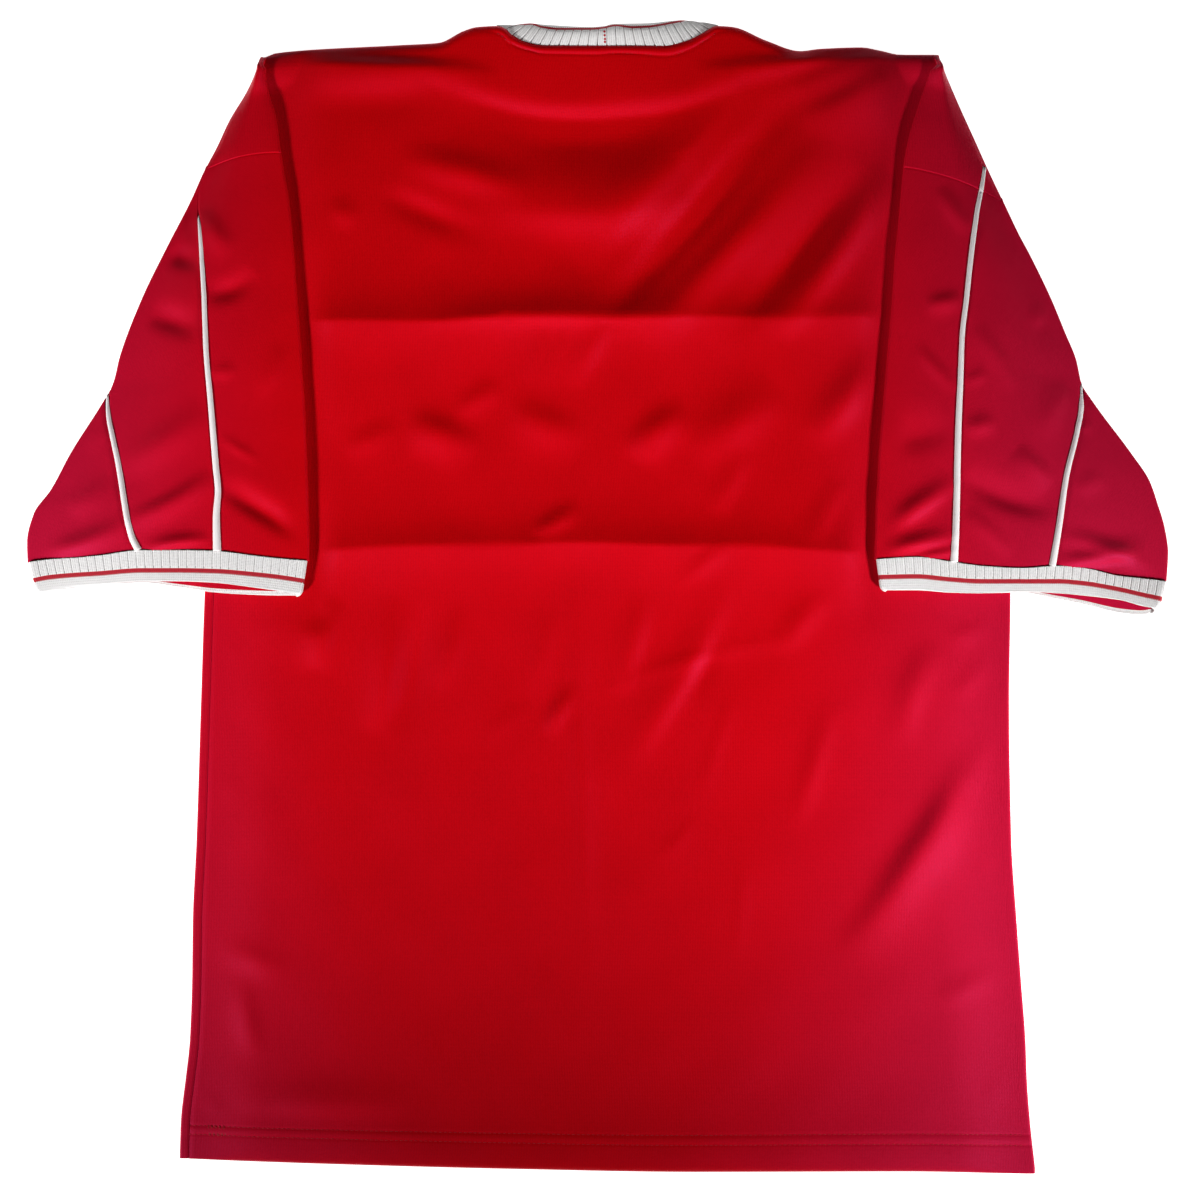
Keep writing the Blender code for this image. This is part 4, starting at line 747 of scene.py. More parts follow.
class Ring:
    """One ring of a flattened tube, as points in order with their distance round it.

    It starts at the underarm seam below, runs out round the outer edge, back in over the top and
    round the inner edge to the seam again. Distance is 0 at the outermost point and grows
    inwards on top; below it is negative."""

    BELOW, TURN, ABOVE, HOME = 60, 21, 110, 8
    OUTERMOST = BELOW + TURN // 2
    INNERMOST = BELOW + TURN + ABOVE + TURN // 2
    NUDGE = 0.4

    def __init__(self, side, outer, inner, top_y, bottom_y, low, lift, radii, puff, folds=()):
        self.sign = SIGN[side]
        at_outer, at_inner = outer - radii[0], inner + radii[1]
        turn = np.radians(np.linspace(-90, 90, self.TURN))
        seam = at_inner + UNDERARM_IN
        above = np.linspace(at_outer, at_inner, self.ABOVE)
        self.out = np.concatenate(
            (
                np.linspace(seam, at_outer, self.BELOW),
                at_outer + radii[0] * np.cos(turn),
                above,
                at_inner - radii[1] * np.cos(turn),
                np.linspace(at_inner, seam, self.HOME),
            )
        )
        rise = (1 + np.sin(turn)) / 2
        upper = np.concatenate(
            (np.zeros(self.BELOW), rise, np.ones(self.ABOVE), rise[::-1], np.zeros(self.HOME))
        )
        level = bottom_y(self.out)
        self.y = level + (top_y(self.out) - level) * upper
        over = back_height(self.sign * self.out, level) + lift
        floor = low + (over - low) * body_rise(side, self.out, level)
        ends = floor[self.BELOW] + 2 * radii[0], floor[-self.HOME] + 2 * radii[1]
        f = (at_outer - above) / (at_outer - at_inner)
        top = slice(self.BELOW + self.TURN, self.BELOW + self.TURN + self.ABOVE)
        wrinkles = fold_height(self.sign * above, self.y[top], folds)
        wrinkles = wrinkles + ripple(self.sign * above, self.y[top]) * SLEEVE_RIPPLE
        calm = ease(f / CALM_OUTER), ease((1 - f) / CALM_INNER)
        roof = upper_height(f, *ends, puff) + wrinkles * calm[0] * calm[1]
        self.z = np.concatenate(
            (
                floor[: self.BELOW],
                floor[self.BELOW] + 2 * radii[0] * rise,
                roof,
                floor[-self.HOME] + 2 * radii[1] * rise[::-1],
                floor[-self.HOME :],
            )
        )
        step = np.sqrt(np.diff(self.out) ** 2 + np.diff(self.y) ** 2 + np.diff(self.z) ** 2)
        self.distance = summed(step)
        self.distance -= self.distance[self.OUTERMOST]
        self.inner_distance = self.distance[self.INNERMOST]

    def over(self, out):
        """Distance of the point at this width on top, or below where it is past the edge."""
        edge = self.out[self.OUTERMOST]
        if out > edge:
            return edge - out
        top = slice(self.OUTERMOST, self.INNERMOST + 1)
        return float(np.interp(-out, -self.out[top], self.distance[top]))

    def body_side(self):
        """Distance of the place below where the tube steps down off the body."""
        below = slice(0, self.BELOW)
        middle = (self.z[0] + self.z[self.BELOW - 1]) / 2
        return float(np.interp(-middle, -self.z[below], self.distance[below]))

    def level(self, out):
        """Y on top at this width."""
        top = slice(self.OUTERMOST, self.INNERMOST + 1)
        return float(np.interp(-out, -self.out[top], self.y[top]))

    def points(self, distance):
        columns = [np.interp(distance, self.distance, part) for part in (self.out, self.y, self.z)]
        return np.stack((self.sign * columns[0], columns[1], columns[2]), axis=-1)

    def outward(self, distance):
        """The direction out of the tube at this distance, across the sleeve and up."""
        step = self.points(distance + self.NUDGE) - self.points(distance - self.NUDGE)
        normal = np.array((self.sign * step[2], 0, -self.sign * step[0]))
        return normal / np.linalg.norm(normal)


def sleeve_ring(side, v):
    """The sleeve's ring, v of the way from the armhole seam to the cuff seam."""
    hole, ends = ARMHOLE[side], CUFF_ENDS[side]
    seam = CUFF[side]["seam"]
    cuff_outer, cuff_inner = float(seam(ends["outer"][0])), float(seam(ends["inner"][0]))
    outer_y, inner_y = mix(hole["outer"], cuff_outer, v), mix(hole["inner"], cuff_inner, v)
    outer, inner = sleeve_ends(side, outer_y, inner_y)

    def below(out):
        return outer_y + (inner_y - outer_y) * (outer - out) / (outer - inner)

    def above(out):
        f = (outer - out) / (outer - inner)
        at_cuff = mix(ends["outer"][0], ends["inner"][0], f)
        bend = seam(at_cuff) - mix(cuff_outer, cuff_inner, f)
        return below(out) + 4 * hole["bow"] * f * (1 - f) * (1 - v) + bend * v

    puff = mix(CAP_PUFF, SLEEVE_PUFF, float(ease(v / PUFF_FROM)))
    radii = (LAYER / 2, LAYER / 2)
    folds = SLEEVE_FOLDS[side]
    return Ring(side, outer, inner, above, below, CLOTH / 2, LAYER, radii, puff, folds)


def piping_place(side, which, ring):
    """Distance round the ring of a piping's middle, half its thickness and half its width."""
    line_of = PIPINGS[side + "_" + which]
    out = (ring.out[ring.OUTERMOST] + ring.out[ring.INNERMOST]) / 2
    for _ in range(8):
        level = ring.level(out)
        out = float(line_of["out"](level))
    thick = PIPING * float(line_of["thickness"](level))
    return ring.over(out), thick, thick * float(line_of["wide"](level))


def clearance(place, wide, slope):
    """From a piping's middle to the panel's edge, measured along the ring: more where the piping
    runs slantwise, and where it lies in the sleeve's outer fold."""
    folded = 1 + FOLD_CLEAR * math.exp(-((place / FOLD_NEAR) ** 2))
    return wide * PIPING_COVER * math.hypot(1, slope) * folded


def sleeve(side):
    """The three panels of a sleeve, their places on the cloth, and its two pipings."""
    shares = spread(0, 1, SLEEVE_ROWS, ARMHOLE_CROWD, CUFF_CROWD)
    length = ARMHOLE[side]["inner"] - float(CUFF[side]["seam"](CUFF_ENDS[side]["inner"][0]))
    rings = [sleeve_ring(side, v) for v in shares]
    cords, places, clear = {}, {}, {}
    for which in ("inner", "outer"):
        found = [piping_place(side, which, ring) for ring in rings]
        places[which] = np.array([place for place, _, _ in found])
        slopes = np.gradient(places[which], shares * length)
        clear[which] = [clearance(one[0], one[2], slope) for one, slope in zip(found, slopes)]
        cords[which] = piping(rings, found)
    if side == "right":
        cords["inner"] = cap_piping() + cords["inner"][1:]
    panels = {name: [] for name in SLEEVE_COLUMNS}
    round_it = {name: [] for name in SLEEVE_COLUMNS}
    for i, ring in enumerate(rings):
        folds = [(place, *FOLD_CROWD) for place in (0, ring.inner_distance)]
        folds.append((ring.body_side(), *STEP_CROWD))
        inner, outer = places["inner"][i], places["outer"][i]
        ends = {
            "back": (inner + clear["inner"][i], ring.distance[-1] - GAP / 2),
            "band": (outer + clear["outer"][i], inner - clear["inner"][i]),
            "front": (ring.distance[0] + GAP / 2, outer - clear["outer"][i]),
        }
        for name, count in SLEEVE_COLUMNS.items():
            at = spread(*ends[name], count, *folds)
            if i == 0:
                under = [ring.points(place) - ring.outward(place) * TUCK_UNDER for place in at]
                under = np.array(under) + (0, TUCK, 0)
                panels[name].append(under)
                round_it[name].append(np.column_stack((at, np.full(count, -TUCK))))
            panels[name].append(ring.points(at))
            round_it[name].append(np.column_stack((at, np.full(count, shares[i] * length))))
    return (
        {name: np.array(grid) for name, grid in panels.items()},
        {name: np.array(grid) for name, grid in round_it.items()},
        cords,
    )


def piping(rings, found):
    """A piping's points from ring to ring, raised out of the seam: place, way out of the cloth,
    half its thickness and half its width."""
    points = []
    for ring, (place, thick, wide) in zip(rings, found):
        if thick < THIN_PIPING:
            continue
        normal = ring.outward(place)
        point = ring.points(place) + normal * PIPING_LIFT * thick / PIPING
        point[2] = max(point[2], thick + FLOOR_CLEAR)
        points.append(np.array((*point, *normal, thick, wide)))
    for end, beside in ((0, 1), (-1, -2)):
        step = (points[beside] - points[end])[:3]
        points[end][:3] += step * PIPING_END / np.linalg.norm(step)
    return points


def cap_piping():
    """The right inner piping's end, which lies on the shoulder cap."""
    edges = EDGES["right"]
    points = []
    for y in CAP_PIPING_ROWS:
        out = float(PIPINGS["right_inner"]["out"](y))
        outer, inner = float(edges["outer"](y)) - CLOTH / 2, float(edges["inner"](y))
        f = max((outer - out) / (outer - inner), 0.0)
        step = SLOPE_STEP / (outer - inner)
        rise = float(cap_height(f + step) - cap_height(max(f - step, 0.0)))
        run = (min(f, step) + step) * (outer - inner)
        normal = np.array((rise, run)) / math.hypot(rise, run)
        thick = PIPING * float(PIPINGS["right_inner"]["thickness"](y))
        away = CLOTH / 2 + CAP_PIPING_SHOWS
        x = min(out + CAP_PIPING_LEAN * normal[0] * away, outer)
        height = float(cap_height(f)) + normal[1] * away
        points.append(np.array((x, y, height, normal[0], 0, normal[1], thick, thick)))
    return points


def cuff_ring(side, w):
    """The ring of a cuff's inner surface, w of the way from its seam to its rim."""
    ends, lines = CUFF_ENDS[side], CUFF[side]
    corner = CUFF_CORNER * (1 - float(rounded((1 - w) * CUFF_LONG / CUFF_CORNER)))
    outer = mix(*ends["outer"], w) - RIB - corner
    inner = mix(*ends["inner"], w) + RIB + corner
    seams = [float(lines["seam"](ends[end][0])) for end in ("outer", "inner")]

    def above(out):
        return lines["seam"](out) - CUFF_CLEAR + (lines["near"](out) - lines["seam"](out)) * w

    def below(out):
        start = seams[0] + (seams[1] - seams[0]) * (outer - out) / (outer - inner) - CUFF_CLEAR
        return mix(start, lines["far"](out), w)

    lift = CLOTH / 2 + SEAM_CLEAR + RIB
    radii = (mix(CUFF_TURN, CUFF_GAPE[side], w), CUFF_TURN)
    return Ring(side, outer, inner, above, below, RIB, lift, radii, SLEEVE_PUFF)


def rib_share(place, beyond):
    """The wall's thickness as a share of RIB: place counts ribs, with a groove at each whole
    number, and beyond is the way from the middle of the stripe towards the rim."""
    from_groove = np.abs(place - np.round(place))
    crown = CROWN * bell((from_groove - 0.5) / CROWN_WIDE)
    ribbed = GROOVE + (1 - GROOVE) * ease(from_groove / GROOVE_HALF) - crown
    return mix(ribbed, PLAIN, ease((beyond + STRIPE_HALF + STRIPE_SOFT) / STRIPE_SOFT))


def count_ribs(first, last):
    """Places across the ribs: a rib's parts from each whole number, and the last one."""
    return np.array([rib + part for rib in range(first, last) for part in RIB_PARTS] + [last])


def cuff(side):
    """A cuff as its inner surface, with the wall's thickness there as a share of RIB, and its
    places counted in ribs and as the way from its stripe."""
    rows, maps = [], []
    lines = CUFF[side]
    ring = cuff_ring(side, 0)
    below = int(round(-ring.distance[0] / ring.inner_distance * CUFF_RIBS))
    home = int(round((ring.distance[-1] - ring.inner_distance) / ring.inner_distance * CUFF_RIBS))
    counts = -below, 0, CUFF_RIBS, CUFF_RIBS + home
    counted = count_ribs(counts[0], counts[-1])
    for w in spread(0, 1, *CUFF_ROWS):
        ring = cuff_ring(side, w)
        ends = ring.distance[0], 0, ring.inner_distance, ring.distance[-1]
        points = ring.points(np.interp(counted, counts, ends))
        out = np.abs(points[:, 0])
        down = w * (lines["seam"](out) - lines["near"](out))
        beyond = down - (lines["seam"](out) - lines["stripe"](out))
        row = np.column_stack((points, rib_share(counted, beyond) * CUFF_SHARE))
        row[-1] = row[0]
        rows.append(row)
        maps.append(np.column_stack((counted, beyond)))
    return facing_up(np.array(rows), side), facing_up(np.array(maps), side)


def facing_up(grid, side):
    """The grid with its columns running to +X on top, so its faces look outwards."""
    return grid if side == "left" else grid[:, ::-1]


# ---------------------------------------------------------------- collar

RIM = table(
    "x y",
    (-67, 384), (-46, 386), (-35, 385), (-4, 383.5), (5, 384), (11, 385.5), (34, 386), (58, 388),
    (72, 387), (85, 384),
)["y"]
COLLAR_STRIPE = table(
    "x y",
    (-43, 385.5), (-35.5, 382.5), (-25, 381), (-3.5, 381), (5.5, 382), (13, 383.5), (23.5, 382),
    (34.5, 382.5), (45, 384.5), (55.5, 387), (64, 390),
)["y"]


def along_neckline(shares):
    """Points of the collar's seam along the back neckline, at shares of its length."""
    x = np.linspace(*COLLAR_SEAM_X, 300)
    neckline = np.stack((x, TOP(x)), axis=1)
    run = np.gradient(neckline, axis=0)
    away = np.stack((-run[:, 1], run[:, 0]), axis=1) / np.hypot(*run.T)[:, None]
    neckline = neckline + away * COLLAR_CLEAR
    along = summed(np.hypot(*np.diff(neckline, axis=0).T))
    return np.stack([np.interp(shares * along[-1], along, part) for part in neckline.T], axis=1)


def front_curve(half, top, drop, count):
    """The front half's curve on the floor, from right to left."""
    angle = np.linspace(0, math.pi, count)[1:-1]
    return np.stack((NECK_MIDDLE + half * np.cos(angle), top - drop * np.sin(angle)), axis=1)


def collar():
    """The collar as its inner surface: its back half arches over the neckline and rolls down to
    its rim, and its front half lies under it on the floor, round the front neckline."""
    counted = count_ribs(0, COLLAR_RIBS)
    shares = counted / COLLAR_RIBS
    seam = along_neckline(shares)
    rim_x = mix(*COLLAR_RIM_X, shares)
    rim = np.stack((rim_x, RIM(rim_x) - RIB * PLAIN), axis=1)
    seam_height = NECK_EDGE(seam[:, 0]) - CLOTH / 2
    end_height = RIM_HEIGHT + 2 * COLLAR_TURN
    slim = 1 - SLIM_ENDS * (bell(shares / SLIM_NEAR) + bell((1 - shares) / SLIM_NEAR))
    count = FRONT_RIBS * FRONT_POINTS + 3
    front_seam = front_curve(NECK_HALF, NECK_TOP, NECK_DROP, count)
    front_rim = front_curve(NECK_HALF - FRONT_RIM_IN, FRONT_RIM_TOP, FRONT_RIM_DROP, count)
    front_places = np.linspace(0, FRONT_RIBS, count)[1:-1]
    rows, maps = [], []
    for w in spread(0, 1, *COLLAR_ROWS):
        flat = seam + (rim - seam) * (1 - (1 - w) ** RIM_POWER)
        roll = COLLAR_ROLL * math.sin(math.pi * w) * np.sin(math.pi * shares)
        height = mix(seam_height, end_height, w**ROLL_POWER) + roll
        beyond = flat[:, 1] + RIB * PLAIN * ease((w - 0.45) / 0.5) - COLLAR_STRIPE(flat[:, 0])
        share = (1 - DEEPER * (1 - rib_share(counted, beyond))) * slim
        back = np.column_stack((flat, height, share))
        right, left = half_turn(back[-1], RIM_HEIGHT), half_turn(back[0], RIM_HEIGHT)[::-1]
        front_beyond = np.full(count - 2, (w - FRONT_STRIPE) * FRONT_WIDE)
        front_share = rib_share(front_places, front_beyond) * PLAIN
        front_height = np.full(count - 2, RIM_HEIGHT)
        front = np.column_stack((mix(front_seam, front_rim, w), front_height, front_share))
        rows.append(np.concatenate((back, right, front, left, back[:1])))
        beyond = beyond * FINER
        turn = np.full(len(right), 0.5)
        places = np.concatenate((counted, turn, front_places, turn, [0.0]))
        ends = [np.full(len(turn), beyond[end]) for end in (-1, 0)]
        past = np.concatenate((beyond, ends[0], front_beyond, ends[1], beyond[:1]))
        maps.append(np.column_stack((places, past)))
    return np.array(rows)[::-1], np.array(maps)[::-1]


def half_turn(start, low):
    """Points from start down to the floor layer, round the collar's folded end."""
    radius, slim = (start[2] - low) / 2, PLAIN * (1 - SLIM_ENDS)
    points = []
    for t in np.radians(np.linspace(70, -90, 9)):
        y, height = start[1] + radius * 0.5 * math.cos(t), low + radius * (1 + math.sin(t))
        points.append((start[0], y, height, slim))
    return np.array(points)


# ---------------------------------------------------------------- materials


class Nodes:
    """A material's nodes, added in the order that their values are worked out."""

    def __init__(self, name):
        self.material = bpy.data.materials.new(name)
        self.material.use_nodes = True
        self.tree = self.material.node_tree
        self.shader = self.tree.nodes["Principled BSDF"]

    def add(self, kind, inputs=(), **settings):
        node = self.tree.nodes.new("ShaderNode" + kind)
        for name, value in settings.items():
            setattr(node, name, value)
        for name, value in dict(inputs).items():
            self.join(node.inputs[name], value)
        return node

    def join(self, socket, value):
        if isinstance(value, bpy.types.NodeSocket):
            self.tree.links.new(value, socket)
        else:
            socket.default_value = value

    def math(self, operation, *values):
        node = self.tree.nodes.new("ShaderNodeMath")
        node.operation = operation
        for socket, value in zip(node.inputs, values):
            self.join(socket, value)
        return node.outputs[0]

    def times(self, first, second):
        return self.math("MULTIPLY", first, second)

    def rest(self, value):
        return self.math("SUBTRACT", 1.0, value)

    def half_each(self, first, second):
        return self.math("MULTIPLY_ADD", first, 0.5, self.times(second, 0.5))

    def vector(self, operation, *values):
        node = self.add("VectorMath", enumerate(values), operation=operation)
        return node.outputs["Value" if operation in ("LENGTH", "DISTANCE") else "Vector"]

    def cloth_place(self):
        """The place on the cloth, across and along it, in the cloth map's units."""
        found = self.add("UVMap", uv_map="cloth")
        split = self.add("SeparateXYZ", {"Vector": found.outputs[0]})
        return split.outputs[0], split.outputs[1]

    def noise(self, scale, detail=2.0, roughness=0.5):
        place = self.add("TexCoord").outputs["Object"]
        inputs = {"Vector": place, "Scale": scale, "Detail": detail, "Roughness": roughness}
        return self.add("TexNoise", inputs).outputs["Fac"]

    def step(self, value, low, high):
        """0 under low, 1 over high and smooth between."""
        node = self.add("MapRange", {"Value": value, "From Min": low, "From Max": high})
        node.interpolation_type = "SMOOTHSTEP"
        return node.outputs[0]

    def blend(self, share, first, second):
        node = self.add("Mix", {"Factor": share}, data_type="RGBA")
        self.join(node.inputs[6], first)
        self.join(node.inputs[7], second)
        return node.outputs[2]

    def wave(self, value, turns):
        """From 0 to 1 and back, so many times over each unit."""
        swing = self.math("SINE", self.times(value, 2 * math.pi * turns))
        return self.math("MULTIPLY_ADD", swing, 0.5, 0.5)

    def stitches(self, across, along):
        """Height of a knit's stitches: across and along count wales and courses."""
        slant = self.math("PINGPONG", across, 0.5)
        loops = self.wave(self.math("ADD", along, slant), 1.0)
        valley = self.rest(self.math("POWER", self.rest(self.times(slant, 2.0)), 4.0))
        return self.times(self.math("MULTIPLY_ADD", loops, 0.6, 0.4), valley)

    def bump(self, height, distance, strength):
        inputs = {"Height": height, "Distance": distance, "Strength": strength}
        return self.add("Bump", inputs).outputs[0]

    def finish(self, **inputs):
        for name, value in inputs.items():
            name = name.replace("_", " ").title().replace("Ior", "IOR")
            self.join(self.shader.inputs[name], value)
        return self.material


# Each colour, after its darker one: painted shade between the stitches, mixed with random tone
# (for the thread, random tone only)
DEEP_RED, RED = (0.45, 0.0002, 0.0002, 1.0), (0.64, 0.0002, 0.0003, 1.0)
# The crimson pair is painted reflection, a veil of reflected light over the outer parts
DEEP_PAINTED_VEIL_RED, PAINTED_VEIL_RED = (0.40, 0.0036, 0.025, 1.0), (0.57, 0.0055, 0.035, 1.0)
DEEP_STRIPE, STRIPE_RED = (0.30, 0.004, 0.012, 1.0), (0.50, 0.008, 0.024, 1.0)
DEEP_WHITE, WHITE = (0.52, 0.5, 0.495, 1.0), (0.88, 0.865, 0.86, 1.0)
DEEP_TRIM, TRIM = (0.80, 0.72, 0.73, 1.0), (0.94, 0.90, 0.90, 1.0)
DEEP_THREAD, THREAD = (0.30, 0.001, 0.006, 1.0), (0.55, 0.003, 0.012, 1.0)
GROOVE_SHADE_GREY = (0.27, 0.25, 0.25, 1.0)  # painted shade in the grooves
PALE, PALER = (0.90, 0.90, 0.90, 1.0), (0.93, 0.93, 0.93, 1.0)  # the floor

# Painted reflection: the red turns into a cool crimson veil of reflected light away from this
# place in metres, sooner along X than along Y.
VEIL_PAINT_MIDDLE, VEIL_PAINT_STRETCH = (-0.03, 0.1, 0.0), (4.0, 1.43, 0.0)
VEIL_PAINT_START, VEIL_PAINT_FULL = 0.62, 1.45
WALE, COURSE = 0.0011, 0.0009  # of the red knit, in metres
PIPING_WALE, PIPING_COURSE = 0.0009, 0.0008


def red_knit():
    n = Nodes("red_knit")
    across, along = n.cloth_place()
    wales, courses = n.math("DIVIDE", across, WALE), n.math("DIVIDE", along, COURSE)
    stitches = n.stitches(wales, courses)
    cloudy = n.noise(28.0, 3.0)
    grain = n.noise(900.0, 2.0, 0.7)
    # Painted shade: the red darkens between the stitches, mixed with random tone
    stitch_shade_and_tone = n.half_each(grain, stitches)
    stitch_shade_and_tone = n.math("MULTIPLY_ADD", cloudy, 0.15, n.times(stitch_shade_and_tone, 0.85))
    stitch_shade_and_tone = n.step(stitch_shade_and_tone, 0.2, 0.75)
    pure, painted_veil_red = n.blend(stitch_shade_and_tone, DEEP_RED, RED), n.blend(stitch_shade_and_tone, DEEP_PAINTED_VEIL_RED, PAINTED_VEIL_RED)
    # Painted reflection: away from the middle the red blends into the crimson veil of reflected
    # light
    place = n.add("TexCoord").outputs["Object"]
    away = n.vector("MULTIPLY", n.vector("SUBTRACT", place, VEIL_PAINT_MIDDLE), VEIL_PAINT_STRETCH)
    far = n.step(n.vector("LENGTH", away), VEIL_PAINT_START, VEIL_PAINT_FULL)
    return n.finish(
        base_color=n.blend(far, pure, painted_veil_red),
        roughness=n.math("MULTIPLY_ADD", grain, 0.10, 0.44),
        normal=n.bump(n.math("ADD", stitches, n.times(grain, 0.8)), 0.00012, 0.6),
        specular_ior_level=0.14,
        specular_tint=(1.0, 0.2, 1.0, 1.0),
        sheen_weight=0.04,
        sheen_roughness=0.4,
        sheen_tint=(1.0, 0.2, 0.4, 1.0),
    )


# Along a rib, in millimetres past the stripe's middle: where each part starts or ends
RIM_FROM, STRIPE_FROM = (-1.2, -0.9), (-1.95, -1.7)
DOTS_FROM, DOTS_TO = (-3.4, -2.7), (-2.4, -1.9)
STRIPE_TO, STRIPE_WAVE = 0.9, 0.8
RIB_WALES, RIM_WALES, RIM_COURSE = 4.0, 4.5, 1.6
COLLAR_FROM = (0.2, 0.25)  # Y in metres
# The red stitches at the collar's join, and their radius in metres
JOIN_DOTS, DOT_RADIUS = ((5.3, 378.5), (5.5, 376.0), (5.7, 373.6), (5.7, 371.8)), 0.0008


def white_rib():
    """Ribbed knit with a stripe: the map's first number counts ribs, its second is the way past
    the stripe's middle in millimetres."""
    n = Nodes("white_rib")
    ribs, past = n.cloth_place()
    in_rib = n.math("PINGPONG", ribs, 0.5)
    is_rim = n.step(past, *RIM_FROM)
    in_ribs = n.rest(is_rim)
    dashes = n.math("MULTIPLY_ADD", n.wave(past, 0.55), 0.45, 0.55)
    # Painted shade: the grooves between the ribs darken to grey, in dashes along them
    groove_shade = n.times(n.times(n.rest(n.step(in_rib, 0.0, 0.06)), dashes), in_ribs)
    dots = n.times(n.rest(n.step(in_rib, 0.02, 0.1)), n.step(past, *DOTS_FROM))
    dots = n.times(dots, n.rest(n.step(past, *DOTS_TO)))
    fine = n.stitches(n.times(ribs, RIB_WALES), past)
    coarse = n.stitches(n.times(ribs, RIM_WALES), n.math("DIVIDE", past, RIM_COURSE))
    knit = n.math("ADD", n.times(fine, in_ribs), n.times(coarse, is_rim))
    lower = n.math("MULTIPLY_ADD", n.wave(ribs, RIM_WALES), STRIPE_WAVE, STRIPE_TO)
    stripe = n.times(n.step(past, *STRIPE_FROM), n.math("LESS_THAN", past, lower))
    grain = n.noise(700.0, 2.0, 0.7)
    # Painted shade: the white and the stripe darken between the stitches, mixed with random tone
    stitch_shade_and_tone = n.step(n.half_each(grain, knit), 0.15, 0.6)
    groove_shade_and_dots = n.math("MAXIMUM", n.times(groove_shade, 0.7), n.times(dots, 0.9))
    white = n.blend(groove_shade_and_dots, n.blend(stitch_shade_and_tone, DEEP_WHITE, WHITE), GROOVE_SHADE_GREY)
    red = n.blend(stitch_shade_and_tone, DEEP_STRIPE, STRIPE_RED)
    place = n.add("TexCoord").outputs["Object"]
    on_collar = n.step(n.add("SeparateXYZ", {"Vector": place}).outputs[1], *COLLAR_FROM)
    stripe = n.math("MAXIMUM", stripe, n.times(dots, on_collar))
    level = n.vector("MULTIPLY", place, (1.0, 1.0, 0.0))
    for x, y in JOIN_DOTS:
        away = n.vector("DISTANCE", level, (x * MM, y * MM, 0.0))
        stripe = n.math("MAXIMUM", stripe, n.math("LESS_THAN", away, DOT_RADIUS))
    return n.finish(
        base_color=n.blend(stripe, white, red),
        roughness=0.75,
        normal=n.bump(n.math("MULTIPLY_ADD", grain, 0.4, knit), 0.0003, 0.6),
        specular_ior_level=0.3,
        sheen_weight=0.1,
        sheen_roughness=0.5,
    )


def white_piping():
    n = Nodes("white_piping")
    across, along = n.cloth_place()
    wales, courses = n.math("DIVIDE", across, PIPING_WALE), n.math("DIVIDE", along, PIPING_COURSE)
    weave = n.stitches(wales, courses)
    # Painted shade: the piping darkens between its stitches, mixed with random tone
    stitch_shade_and_tone = n.step(n.half_each(n.noise(800.0, 2.0, 0.7), weave), 0.1, 0.6)
    return n.finish(
        base_color=n.blend(stitch_shade_and_tone, DEEP_TRIM, TRIM),
        roughness=0.6,
        normal=n.bump(weave, 0.0001, 0.5),
        specular_ior_level=0.35,
        sheen_weight=0.1,
    )


def thread():
    n = Nodes("red_thread")
    return n.finish(
        base_color=n.blend(n.noise(1500.0, 2.0, 0.6), DEEP_THREAD, THREAD),
        roughness=0.5,
        specular_ior_level=0.4,
    )


def pale_floor():
    n = Nodes("pale_floor")
    return n.finish(
        base_color=n.blend(n.noise(3.0, 3.0), PALE, PALER),
        roughness=0.9,
        specular_ior_level=0.1,
        emission_color=(1.0, 1.0, 1.0, 1.0),
        emission_strength=1.0,
    )


# ---------------------------------------------------------------- objects


def add(name, mesh, *materials):
    made = bpy.data.objects.new(name, mesh)
    for finish in materials:
        mesh.materials.append(finish)
    bpy.context.scene.collection.objects.link(made)
    return made


def wall(name, patches, maps, thickness, offset, materials):
    """Cloth: the patches sewn into one open sheet where their points meet, made solid. Each
    patch has a map of the same size, with the place of its points on the cloth. With an offset,
    its points also carry their share of the thickness."""
    points = np.concatenate([grid[:, :, :3].reshape(-1, 3) for grid in patches])
    places = np.concatenate([one.reshape(-1, 2) for one in maps])
    rounded_off = np.round(points, 4)
    _, first, index = np.unique(rounded_off, axis=0, return_index=True, return_inverse=True)
    corners, start = [], 0
    for grid in patches:
        rows, columns = grid.shape[:2]
        number = start + np.arange(rows * columns).reshape(rows, columns)
        start += rows * columns
        quads = number[:-1, :-1], number[1:, :-1], number[1:, 1:], number[:-1, 1:]
        corners.append(np.stack(quads, axis=2).reshape(-1, 4))
    corners = np.concatenate(corners)
    mesh = bpy.data.meshes.new(name)
    mesh.from_pydata(points[first] * MM, [], index.reshape(-1)[corners].tolist())
    if len(materials) > 1:
        is_rim = np.zeros((rows - 1, columns - 1), np.int32)
        is_rim[-RIM_ROWS:] = 1
        mesh.polygons.foreach_set("material_index", is_rim.reshape(-1))
    mesh.shade_smooth()
    layer = mesh.uv_layers.new(name="cloth")
    layer.uv.foreach_set("vector", places[corners.reshape(-1)].astype(np.float32).reshape(-1))
    made = add(name, mesh, *materials)
    solid = made.modifiers.new("Wall", "SOLIDIFY")
    solid.thickness = thickness * MM
    solid.offset = offset
    if offset:
        group = made.vertex_groups.new(name="thickness")
        for number, share in enumerate(patches[0][:, :, 3].reshape(-1)[first]):
            group.add([number], float(share), "REPLACE")
        solid.vertex_group = "thickness"
    if len(materials) > 1:
        solid.material_offset = 2
        solid.material_offset_rim = 0
    even = made.modifiers.new("Flat faces first", "WEIGHTED_NORMAL")
    even.weight = 90
    return made


def flat_map(grid):
    """The place on the cloth of a grid's points, in metres: the way along its rows and Y."""
    step = np.linalg.norm(np.diff(grid[:, :, ::2], axis=1), axis=2)
    along = np.concatenate((np.zeros((len(grid), 1)), np.cumsum(step, axis=1)), axis=1)
    middle = along - along[:, grid.shape[1] // 2][:, None]
    return np.stack((middle, grid[:, :, 1]), axis=2) * MM


